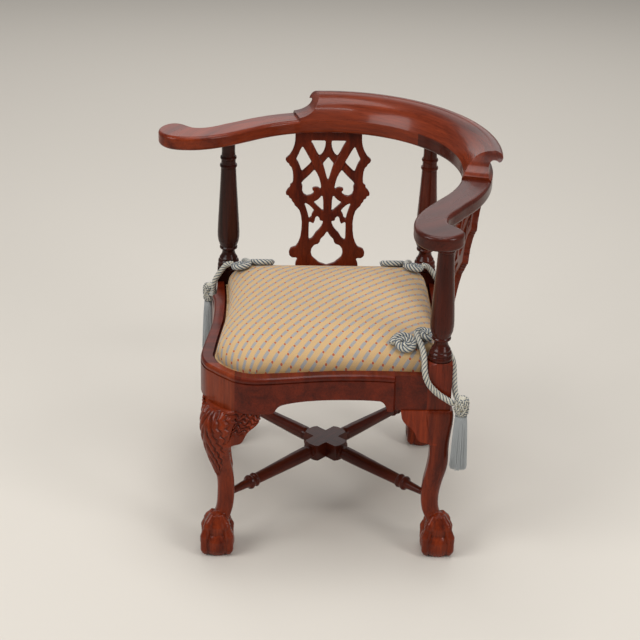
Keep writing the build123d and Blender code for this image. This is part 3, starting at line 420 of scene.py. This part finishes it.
def paw(name):
    """Balls for a foot: the web under the ankle, the ball it grips, and four toes that swell at their knuckles."""
    x, y = (FOOT_REACH * way for way in OUTWARD[name])
    balls = [((x, y, height), radius) for height, radius in MIDDLE_BALLS]
    for across, along in OUTWARD.values():
        for start, end in zip(TOE_LINE, TOE_LINE[1:]):
            for k in range(TOE_STEPS):
                reach, height, radius = (a + (b - a) * k / TOE_STEPS for a, b in zip(start, end))
                balls.append(((x + across * reach, y + along * reach, height), radius))
    return balls


def stand(piece):
    """Flatten what lies under the floor."""
    for vertex in piece.data.vertices:
        vertex.co.z = max(vertex.co.z, 0.0)
    piece.data.update()


for name in ("right_leg", "left_leg", "back_leg"):
    leg = soft_copy("carved_" + name, name, 0.0010, 3, paw(name))
    stand(leg)
    finish_piece(leg, leg_wood, "chair_frame", "mahogany", name)
    print(leg.name, len(leg.data.polygons), "faces")

# %% [markdown]
# Only the front knee is carved. Its top rolls in under the corner, and a long leaf runs from there down to a point on
# the ankle, with veins that sweep outwards. The brackets beside it carry a band of small curled leaves. The cuts are
# moves of the skin along its own normals, deepest where the veins run.

# %% Carved knee
ROOT2 = math.sqrt(2.0)
CORNER = 0.15 * ROOT2
RAIL_BOTTOM = 0.237
BRACKET_STEEP = 0.35


def fade(start, end, value):
    """Smooth step from 0 at the start to 1 at the end."""
    t = min(max((value - start) / (end - start), 0.0), 1.0)
    return t * t * (3 - 2 * t)


def roll_top(place):
    """Draw the top of the knee in towards the face of the corner."""
    edge = 0.009 - 0.012 * (place.x / 0.049) ** 2
    beyond = -(place.y + CORNER) - edge
    rise = min(max((place.z - 0.200) / 0.037, 0.0), 1.0)
    if beyond > 0 and rise > 0:
        place.y += beyond * (1 - math.sqrt(1 - 0.94 * rise * rise))


def leaf_cut(place):
    """Height of the leaf on the front knee at a place."""
    run = (place.z - 0.122) / 0.112
    if not 0.01 < run < 1.0 or place.y > 0.012 - CORNER:
        return 0.0
    lobes = 1 + 0.16 * abs(math.sin(math.pi * place.z / 0.0125))
    across = abs(place.x) / (0.031 * run ** 0.7 * lobes)
    inside = 1 - fade(0.9, 1.08, across)
    vein = 0.5 + 0.5 * math.cos(2 * math.pi * (3.0 * across + place.z / 0.021))
    spine = 1 - fade(0.03, 0.14, across)
    return inside * (0.0014 - 0.0026 * vein ** 2 * (1 - spine)) - 0.0005 * (1 - inside) * fade(0.5, 0.7, run)


def bracket_cut(place):
    """Height of the curled leaves on a front bracket at a place."""
    down = RAIL_BOTTOM - place.z
    along = abs(place.x) * ROOT2
    drift = 0.004 * noise.noise(place * 90.0)
    lobe = math.sin(2 * math.pi * ((along + drift) / 0.0130 + down / 0.026))
    vein = math.sin(2 * math.pi * ((down + drift) / 0.0065 - 0.35 * lobe))
    grain = noise.noise(place * 330.0)
    relief = 0.0007 * lobe + 0.0011 * vein + 0.0009 * grain - 0.0007
    return relief * (1 - fade(0.024, 0.046, down)) * fade(0.0, 0.002, down)


def carve(piece, cut, steep=1.0):
    """Move a piece's skin along its normals by a height, except where it faces up or down more than steep."""
    moves = []
    for vertex in piece.data.vertices:
        height = cut(vertex.co) if abs(vertex.normal.z) <= steep else 0.0
        moves.append(vertex.normal * height)
    for vertex, move in zip(piece.data.vertices, moves):
        vertex.co += move


leg = soft_copy("carved_front_leg", "front_leg", 0.0009, 4, paw("front_leg"))
stand(leg)
for vertex in leg.data.vertices:
    roll_top(vertex.co)
leg.data.update()
carve(leg, leaf_cut)
finish_piece(leg, leg_wood, "chair_frame", "mahogany_light", "front_leg")
print(leg.name, len(leg.data.polygons), "faces")
for name in ("front_bracket_a", "front_bracket_b"):
    bracket = soft_copy("carved_" + name, name, 0.0008, 2)
    carve(bracket, bracket_cut, BRACKET_STEEP)
    finish_piece(bracket, leg_wood, "chair_frame", "mahogany_light", name)
    print(bracket.name, len(bracket.data.polygons), "faces")

# %% [markdown]
# The splats are sawn from a board, then carved so that the straps seem to pass over and under each other. The skin is
# rebuilt and softened, which eases every edge. Then the straps of the upper zigzag are cut back on both faces, except
# where the two long straps cross in front of them.

# %% Splats
SPLAT_FOOT = 0.1636
SPLAT_LEAN = 0.183
SPLAT_LOW = 0.2915
SPLAT_RISE = 0.2235
LONG_STRAP = [(0.036, 0.94), (0.027, 0.85), (0.0204, 0.80), (0.014, 0.742), (0.0065, 0.655), (0.002, 0.58), (0, 0.5)]
ZIGZAG = [(0.0, 0.865), (0.046, 0.655)]


def strap_distance(along, share, line):
    """Distance on the splat's face from a place to a strap's middle line."""
    here = Vector((abs(along), share * SPLAT_RISE))
    nearest = 1.0
    for (x0, t0), (x1, t1) in zip(line, line[1:]):
        a, b = Vector((x0, t0 * SPLAT_RISE)), Vector((x1, t1 * SPLAT_RISE))
        part = min(max((here - a).dot(b - a) / (b - a).length_squared, 0.0), 1.0)
        nearest = min(nearest, (here - a - (b - a) * part).length)
    return nearest


def under_cut(place, turn):
    """How deep the zigzag strap is cut back at a place, seen in the splat's own directions."""
    flat = turn @ place
    share = (place.z - SPLAT_LOW) / SPLAT_RISE
    depth = -flat.y - SPLAT_FOOT - SPLAT_LEAN * (place.z - SPLAT_LOW)
    near = 1 - fade(0.0085, 0.0105, strap_distance(flat.x, share, ZIGZAG))
    clear = fade(0.0062, 0.0074, strap_distance(flat.x, share, LONG_STRAP))
    inner = 1 - fade(0.038, 0.044, abs(flat.x))
    return -0.0017 * near * clear * inner * fade(0.001, 0.003, abs(depth))


for name, angle in (("right_splat", 135), ("left_splat", 225)):
    splat = soft_copy("eased_" + name, name, 0.0010, 3)
    turn = Matrix.Rotation(math.radians(-angle), 3, "Z")
    carve(splat, lambda place: under_cut(place, turn))
    finish_piece(splat, splat_wood, "chair_frame", "mahogany_light", name)
    print(splat.name, len(splat.data.polygons), "faces")

# %% [markdown]
# The seat's cloth is a woven stripe: gold with grey-blue bands, and along each band rust red spots that break it, set
# half a step apart from one band to the next. The pattern is read from the cushion's own flat layout, made further
# down, in which the cloth keeps its scale where it turns over the edge. A fine rib of threads gives the weave.

# %% Seat cloth
STRIPE = 0.0129
SPOT_STEP = 0.0158
BAND_HALF = 0.19
BAND_BREAK = 0.12
SPOT_WIDE = 0.130
SPOT_TALL = 0.105


def seat_cloth():
    """Striped and spotted furnishing fabric."""
    n = Nodes("seat_stripe_cloth")
    split = n.add("SeparateXYZ")
    layout = n.add("TexCoord").outputs["UV"]
    n.join(layout, split.inputs[0])
    x, y = split.outputs[:2]
    wander = n.add("TexNoise", Scale=14.0, Detail=2.0)
    n.join(layout, wander.inputs["Vector"])
    drift = n.math("MULTIPLY", n.math("SUBTRACT", wander.outputs["Fac"], 0.5), 0.0016)
    band = n.math("DIVIDE", n.math("ADD", x, drift), STRIPE)
    place = n.math("ABSOLUTE", n.math("SUBTRACT", n.math("FRACT", band), 0.5))
    stagger = n.math("MULTIPLY", n.math("MODULO", n.math("ABSOLUTE", n.math("FLOOR", band)), 2.0), 0.5)
    step = n.math("FRACT", n.math("ADD", n.math("DIVIDE", y, SPOT_STEP), stagger))
    step = n.math("ABSOLUTE", n.math("SUBTRACT", step, 0.5))
    dash = n.math("MULTIPLY", n.math("LESS_THAN", place, BAND_HALF), n.math("GREATER_THAN", step, BAND_BREAK))
    wide = n.math("POWER", n.math("DIVIDE", place, SPOT_WIDE), 2.0)
    tall = n.math("POWER", n.math("DIVIDE", step, SPOT_TALL), 2.0)
    spot = n.math("LESS_THAN", n.math("ADD", wide, tall), 1.0)
    threads = n.add("TexWave", wave_type="BANDS", bands_direction="X", Scale=260.0, Distortion=1.2, Detail=2.0)
    n.join(layout, threads.inputs["Vector"])
    weft = n.add("TexWave", wave_type="BANDS", bands_direction="Y", Scale=330.0, Distortion=1.0, Detail=2.0)
    n.join(layout, weft.inputs["Vector"])
    gold = n.mix(threads.outputs["Fac"], (0.46, 0.285, 0.125), (0.58, 0.395, 0.200))
    blue = n.mix(weft.outputs["Fac"], (0.25, 0.237, 0.225), (0.345, 0.335, 0.325))
    rust = n.mix(weft.outputs["Fac"], (0.30, 0.055, 0.030), (0.42, 0.105, 0.060))
    colour = n.mix(dash, gold, blue)
    colour = n.mix(spot, colour, rust)
    n.join(colour, n.shader.inputs["Base Color"])
    n.shader.inputs["Roughness"].default_value = 0.8
    n.shader.inputs["Specular IOR Level"].default_value = 0.25
    n.shader.inputs["Sheen Weight"].default_value = 0.12
    height = n.math("ADD", n.math("MULTIPLY", threads.outputs["Fac"], 0.6), weft.outputs["Fac"])
    n.bump(height, 0.35, 0.0004)
    return n.material


cloth = seat_cloth()
print("cloth", cloth.name)

# %% [markdown]
# A drop-in seat is a board with stuffing, drawn tight under its cover: full in the middle, rolled over at the edge,
# and notched round the posts. The cushion starts from a copy of the board and stuffing. It is rebuilt as one even
# skin, blown up a little as cloth so that the surface is tight, and held to a small movement so it stays in its frame.
# The cloth's flat layout moves each place outwards by the length that the edge's fall uses up, and bows the stripes a
# little, as a cover pulled tight towards its front corner does.

# %% Seat cushion
CUSHION_SWELL = 0.0021
EDGE_SPREAD = 9.0
BOW = 0.45
BOW_START = 0.12

cushion = copy_solid("seat_cushion", "seat_padding", "seat_board")
skin = cushion.modifiers.new("skin", "REMESH")
skin.mode = "VOXEL"
skin.voxel_size = 0.005
ease = cushion.modifiers.new("ease", "SMOOTH")
ease.factor = 0.5
ease.iterations = 6
settle(cushion)
start = [v.co.copy() for v in cushion.data.vertices]
puff = cushion.modifiers.new("puff", "CLOTH")
puff.settings.use_pressure = True
puff.settings.uniform_pressure_force = 4.0
puff.settings.effector_weights.gravity = 0.0
for step in range(1, 13):
    scene.frame_set(step)
settle(cushion)
scene.frame_set(1)
for before, vertex in zip(start, cushion.data.vertices):
    move = vertex.co - before
    if move.length > CUSHION_SWELL:
        move = move * (CUSHION_SWELL / move.length)
    vertex.co = before + move
cushion.data.update()
crown = max(v.co.z for v in cushion.data.vertices)
spread = []
for vertex in cushion.data.vertices:
    fall = crown - vertex.co.z
    away = Vector((vertex.normal.x, vertex.normal.y))
    away = away.normalized() if away.length > 0.05 else Vector((0, 0))
    flat = vertex.co.xy + away * (EDGE_SPREAD * fall * fall)
    bow = max(BOW_START - flat.y, 0.0)
    spread.append((flat.x - BOW * bow * bow, flat.y))
layout = cushion.data.uv_layers.new(name="cloth")
for loop in cushion.data.loops:
    layout.data[loop.index].uv = spread[loop.vertex_index]
rounder = cushion.modifiers.new("rounder", "SUBSURF")
rounder.levels = rounder.render_levels = 1
finish_piece(cushion, cloth, "slip_seat", "seat_fabric", "seat_cover", "seat_padding")
print("cushion", len(cushion.data.polygons), "faces", [round(v, 4) for v in cushion.bound_box[6]])

# %% [markdown]
# Under the board a thin dark cloth keeps the stuffing's dust in. It is a single sheet pinned at its edge, with a
# slight sag between the pins.

# %% Dust cloth
dark_cloth = Nodes("dust_cloth")
mesh_threads = dark_cloth.add("TexNoise", Scale=1400.0, Detail=2.0)
dark_cloth.join(dark_cloth.add("TexCoord").outputs["Object"], mesh_threads.inputs["Vector"])
dark_cloth.join(dark_cloth.ramp(mesh_threads.outputs["Fac"], (0.3, (0.006, 0.006, 0.006)), (0.7, (0.03, 0.03, 0.03))),
                dark_cloth.shader.inputs["Base Color"])
dark_cloth.shader.inputs["Roughness"].default_value = 0.95
dark_cloth.bump(mesh_threads.outputs["Fac"], 0.4, 0.0003)

HALF_SHEET = 0.1305
SHEET_HEIGHT = 0.2806
SAG = 0.0012
RIPPLE = 0.0006
shape = bmesh.new()
bmesh.ops.create_grid(shape, x_segments=40, y_segments=40, size=HALF_SHEET)
for vertex in shape.verts:
    inward = (1 - (vertex.co.x / HALF_SHEET) ** 2) * (1 - (vertex.co.y / HALF_SHEET) ** 2)
    ripple = noise.noise(vertex.co * 22.0)
    vertex.co.z = SHEET_HEIGHT - SAG * inward - RIPPLE * inward * ripple
bmesh.ops.rotate(shape, cent=(0, 0, 0), matrix=Matrix.Rotation(math.pi / 4, 3, "Z"), verts=shape.verts)
sheet_mesh = bpy.data.meshes.new("dust_sheet")
shape.to_mesh(sheet_mesh)
shape.free()
sheet = bpy.data.objects.new("dust_sheet", sheet_mesh)
scene.collection.objects.link(sheet)
settle(sheet)
finish_piece(sheet, dark_cloth.material, "slip_seat", "dust_cloth", "seat_dust_cover")
print("dust sheet", len(sheet.data.polygons), "faces")

# %% [markdown]
# The ties are twisted cord: four fat cream strands laid round each other, with a thin dark blue thread in each groove.
# A route of a few points gives a smooth line, and each strand winds round that line. The line's points are read back
# from the curve, so the strands follow the very line that the cord takes.

# %% Cord helpers
CORD = 0.0086


def yarn(name, dark, light):
    """Soft shiny thread, with fine twisted fibres."""
    n = Nodes(name)
    fibre = n.add("TexWave", wave_type="BANDS", bands_direction="DIAGONAL", Scale=420.0, Distortion=3.0, Detail=2.0)
    n.join(n.add("TexCoord").outputs["Object"], fibre.inputs["Vector"])
    n.join(n.mix(fibre.outputs["Fac"], dark, light), n.shader.inputs["Base Color"])
    n.shader.inputs["Roughness"].default_value = 0.55
    n.shader.inputs["Sheen Weight"].default_value = 0.4
    n.bump(fibre.outputs["Fac"], 0.5, 0.0004)
    return n.material


cream = yarn("cream_yarn", (0.44, 0.41, 0.32), (0.68, 0.64, 0.52))
blue_yarn = yarn("blue_grey_yarn", (0.030, 0.045, 0.070), (0.085, 0.115, 0.150))


def smooth_line(name, route):
    """Curve of one open spline through a cord's route."""
    data = bpy.data.curves.new(name, "CURVE")
    data.dimensions = "3D"
    spline = data.splines.new("NURBS")
    spline.points.add(len(route) - 1)
    for point, place in zip(spline.points, route):
        point.co = tuple(place) + (1,)
    spline.order_u = 3
    spline.use_endpoint_u = True
    spline.resolution_u = 12
    piece = bpy.data.objects.new(name, data)
    scene.collection.objects.link(piece)
    return piece


def line_points(route):
    """Points along a route's smooth line, read from its curve."""
    line = smooth_line("route", route)
    mesh = evaluated(line)
    points = [v.co.copy() for v in mesh.vertices]
    bpy.data.meshes.remove(mesh)
    data = line.data
    bpy.data.objects.remove(line)
    bpy.data.curves.remove(data)
    return points


def laid_strands(points, reach, count, pitch, phase=0.0):
    """Paths of the strands that wind round a line at a reach from it."""
    way = (points[1] - points[0]).normalized()
    side = way.orthogonal().normalized()
    paths = [[] for _ in range(count)]
    travelled = 0.0
    for i, point in enumerate(points):
        ahead = points[min(i + 1, len(points) - 1)] - points[max(i - 1, 0)]
        way = ahead.normalized()
        side = (side - way * side.dot(way)).normalized()
        if i:
            travelled += (point - points[i - 1]).length
        for k in range(count):
            angle = 2 * math.pi * (travelled / pitch + (k + phase) / count)
            out = Matrix.Rotation(angle, 3, way) @ side
            paths[k].append(point + out * reach)
    return paths


def strand_mesh(path, radius):
    """Round strand along a path."""
    data = bpy.data.curves.new("strand", "CURVE")
    data.dimensions = "3D"
    data.bevel_depth = radius
    data.bevel_resolution = 1
    data.use_fill_caps = True
    spline = data.splines.new("POLY")
    spline.points.add(len(path) - 1)
    for point, place in zip(spline.points, path):
        point.co = tuple(place) + (1,)
    holder = bpy.data.objects.new("strand", data)
    scene.collection.objects.link(holder)
    mesh = evaluated(holder)
    bpy.data.objects.remove(holder)
    bpy.data.curves.remove(data)
    return mesh


def rope(name, points, thick=CORD, count=4, pitch=0.024, line=0.10):
    """Twisted cord along points: cream strands, and a dark thread in each groove."""
    shape = bmesh.new()
    for material, reach, radius, phase in ((0, 0.25, 0.25, 0.0), (1, 0.39, line, 0.5)):
        for path in laid_strands(points, reach * thick, count, pitch, phase):
            mesh = strand_mesh(path, radius * thick)
            mesh.polygons.foreach_set("material_index", [material] * len(mesh.polygons))
            shape.from_mesh(mesh)
            bpy.data.meshes.remove(mesh)
    mesh = bpy.data.meshes.new(name)
    shape.to_mesh(mesh)
    shape.free()
    mesh.polygons.foreach_set("use_smooth", [True] * len(mesh.polygons))
    mesh.materials.append(cream)
    mesh.materials.append(blue_yarn)
    piece = bpy.data.objects.new(name, mesh)
    scene.collection.objects.link(piece)
    return piece


def spot(along, out, height):
    """Place given along and out from the front right rail, in metres."""
    return Vector(((along + out) / ROOT2, (along - out) / ROOT2, height))


def placed(points, corner):
    """Points of the right tie taken to a corner: turned to the left, or mirrored to the back."""
    if corner == "left":
        return [Vector((-p.x, -p.y, p.z)) for p in points]
    if corner == "back":
        return [Vector((p.y, p.x, p.z)) for p in points]
    return [p.copy() for p in points]


print("cord thickness", CORD)

# %% [markdown]
# Each tie has a flat rosette and a smaller one stitched to the seat's corner, two strands that pass round the post,
# and a tassel where they meet. The rosettes are coiled half turn by half turn from the same kind of cord, twisted a
# little tighter.

# %% Ties
STRAND = [(0.1184, 0.1138, 0.3308), (0.1194, 0.1250, 0.3290), (0.1246, 0.1400, 0.3244), (0.1274, 0.1564, 0.3150),
          (0.1274, 0.1708, 0.2970), (0.1330, 0.1724, 0.2810), (0.1460, 0.1724, 0.2670), (0.1600, 0.1734, 0.2574),
          (0.1692, 0.1766, 0.2534)]
BACK_STRAND = [(0.1444, 0.1180, 0.3286), (0.1520, 0.1254, 0.3250), (0.1596, 0.1274, 0.3140), (0.1708, 0.1274, 0.2970),
               (0.1724, 0.1330, 0.2810), (0.1724, 0.1460, 0.2670), (0.1734, 0.1600, 0.2574), (0.1766, 0.1692, 0.2534)]
ROSETTES = {"large": (4, (0.0990, 0.1320, 0.3251), (0.0, 0.45)), "small": (3, (0.1300, 0.1120, 0.3284), (0.2, 0.16))}
COIL_CORD = 0.0066
COIL_FULL = 1.3
COIL_FIRST = 0.0040
COIL_STEP = 0.00365


def coil_route(turns, place, lean):
    """Route of a flat rosette: half turns that grow, laid on the slope of the seat."""
    flat = []
    radius, x = COIL_FIRST, 0.0
    sign = 1 if turns % 2 == 0 else -1
    for i in range(turns):
        way = sign * (-1 if i % 2 == 0 else 1)
        for k in range(8):
            angle = math.pi * k / 8
            flat.append((x + way * radius * math.cos(angle), way * radius * math.sin(angle)))
        end = x - way * radius
        x = end + way * (radius + COIL_STEP)
        radius = radius + COIL_STEP
    flat.append((end, 0.0))
    wide = (max(p[0] for p in flat) + min(p[0] for p in flat)) / 2
    tall = (max(p[1] for p in flat) + min(p[1] for p in flat)) / 2
    up = (spot(lean[0], lean[1], 0) + Vector((0, 0, 1))).normalized()
    right = spot(1, 0, -lean[0]).normalized()
    ahead = up.cross(right)
    return [spot(*place) + right * (px - wide) + ahead * (py - tall) for px, py in flat]


def length_of(points):
    """Length along points."""
    return sum((b - a).length for a, b in zip(points, points[1:]))


ties = {}
for corner in ("right", "left", "back"):
    for kind, (turns, place, lean) in ROSETTES.items():
        points = line_points(placed(coil_route(turns, place, lean), corner))
        coil = rope(f"{corner}_{kind}_rosette", points, COIL_CORD * COIL_FULL, 4, 0.021, 0.15)
        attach(coil, "slip_seat")
        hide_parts(f"{corner}_tie_{kind}_rosette")
        ties[corner, kind] = coil
    for kind, route in (("front", STRAND), ("back", BACK_STRAND)):
        points = line_points(placed([spot(*p) for p in route], corner))
        strand = rope(f"{corner}_{kind}_strand", points)
        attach(strand, "slip_seat")
        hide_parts(f"{corner}_tie_{kind}_strand")
        ties[corner, kind] = strand
        ties[corner, kind, "points"] = points
        print(strand.name, "length", round(length_of(points), 4))

# %% [markdown]
# A tassel's head is a knot plaited from one cord that travels round a core again and again, rising and falling as it
# goes and passing over and under itself. Its skirt is a bunch of loose threads. Each thread is a thin tube of a few
# faces that hangs from the neck, with a small bend of its own.

# %% Tassels
TASSEL_AT = 0.255
NECK = 0.2370
NECK_REACH = 0.0076
SKIRT_END = 0.1540
THREADS = 160


def plait(rounds, waves):
    """Closed line that goes round the tassel's head, rising and falling, and weaving in and out."""
    route = []
    steps = rounds * 28
    for i in range(steps + 1):
        angle = 2 * math.pi * rounds * i / steps
        wave = angle * waves / rounds
        rise = math.cos(wave)
        reach = 0.0090 - 0.0026 * rise * rise + 0.0008 * math.sin(2 * wave + angle)
        route.append(Vector((TASSEL_AT + reach * math.cos(angle), reach * math.sin(angle), 0.2515 + 0.0112 * rise)))
    return route


def turned_core(shape, outline):
    """Lathe-turned core from (radius, height) points, spun round the tassel's line."""
    corners = [shape.verts.new((TASSEL_AT + r, 0, z)) for r, z in outline]
    edges = [shape.edges.new(pair) for pair in zip(corners, corners[1:])]
    bmesh.ops.spin(shape, geom=corners + edges, cent=(TASSEL_AT, 0, 0), axis=(0, 0, 1), angle=2 * math.pi, steps=20,
                   use_merge=True)
    bmesh.ops.remove_doubles(shape, verts=shape.verts, dist=1e-5)
    bmesh.ops.recalc_face_normals(shape, faces=shape.faces)


def skirt_mesh(name):
    """Bunch of threads round a core, for the right tassel."""
    shape = bmesh.new()
    turned_core(shape, [(0.0001, SKIRT_END + 0.006), (0.0094, SKIRT_END + 0.006), (0.0088, 0.19),
                        (NECK_REACH, NECK - 0.006), (0.0070, NECK), (0.0001, NECK)])
    for i in range(THREADS):
        share = (i * 0.618034) % 1.0
        angle = 2 * math.pi * i / THREADS * 7
        bottom = 0.0080 + 0.0040 * math.sqrt(share)
        short = 0.004 * ((i * 0.7548) % 1.0)
        sway = 0.0006 * math.sin(i * 12.9)
        ring = bmesh.ops.create_circle(shape, segments=4, radius=0.00072)["verts"]
        bmesh.ops.translate(shape, vec=(TASSEL_AT + NECK_REACH * math.cos(angle), NECK_REACH * math.sin(angle), NECK),
                            verts=ring)
        steps = 6
        previous = [e for e in shape.edges if e.verts[0] in ring and e.verts[1] in ring]
        at = Vector((NECK_REACH * math.cos(angle), NECK_REACH * math.sin(angle), NECK))
        for k in range(1, steps + 1):
            t = k / steps
            reach = NECK_REACH + (bottom - NECK_REACH) * t ** 0.7
            bend = angle + sway / 0.008 * math.sin(math.pi * t)
            goal = Vector((reach * math.cos(bend), reach * math.sin(bend), NECK + (SKIRT_END + short - NECK) * t))
            grown = bmesh.ops.extrude_edge_only(shape, edges=previous)["geom"]
            verts = [g for g in grown if isinstance(g, bmesh.types.BMVert)]
            previous = [g for g in grown if isinstance(g, bmesh.types.BMEdge)]
            bmesh.ops.translate(shape, vec=goal - at, verts=verts)
            at = goal
    bmesh.ops.recalc_face_normals(shape, faces=shape.faces)
    mesh = bpy.data.meshes.new(name)
    shape.to_mesh(mesh)
    shape.free()
    mesh.polygons.foreach_set("use_smooth", [True] * len(mesh.polygons))
    return mesh


def to_corner(mesh, corner):
    """Turn the right tassel's mesh to its own corner."""
    angle = {"right": 0, "left": math.pi, "back": math.pi / 2}[corner]
    mesh.transform(Matrix.Rotation(angle, 4, "Z"))


skirt_yarn = yarn("skirt_yarn", (0.24, 0.26, 0.27), (0.44, 0.46, 0.46))
for corner in ("right", "left", "back"):
    head = rope(f"{corner}_plaited_head", plait(5, 7), 0.0052, 3, 0.011, 0.15)
    core = bmesh.new()
    core.from_mesh(head.data)
    turned_core(core, [(0.0001, NECK), (0.0060, NECK), (0.0074, 0.2430), (0.0084, 0.2520), (0.0074, 0.2610),
                       (0.0046, 0.2650), (0.0001, 0.2660)])
    core.to_mesh(head.data)
    core.free()
    to_corner(head.data, corner)
    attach(head, "slip_seat")
    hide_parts(f"{corner}_tassel_head")
    mesh = skirt_mesh(f"{corner}_thread_skirt")
    to_corner(mesh, corner)
    skirt = bpy.data.objects.new(f"{corner}_thread_skirt", mesh)
    scene.collection.objects.link(skirt)
    finish_piece(skirt, skirt_yarn, "slip_seat", "tassel", f"{corner}_tassel_skirt")
    for kind in ("front", "back"):
        points = ties[corner, kind, "points"]
    print(corner, "tassel", len(head.data.polygons), len(mesh.polygons), "faces")

# %% [markdown]
# Last, the scene is brought up to date.

# %% Finish
bpy.context.view_layer.update()
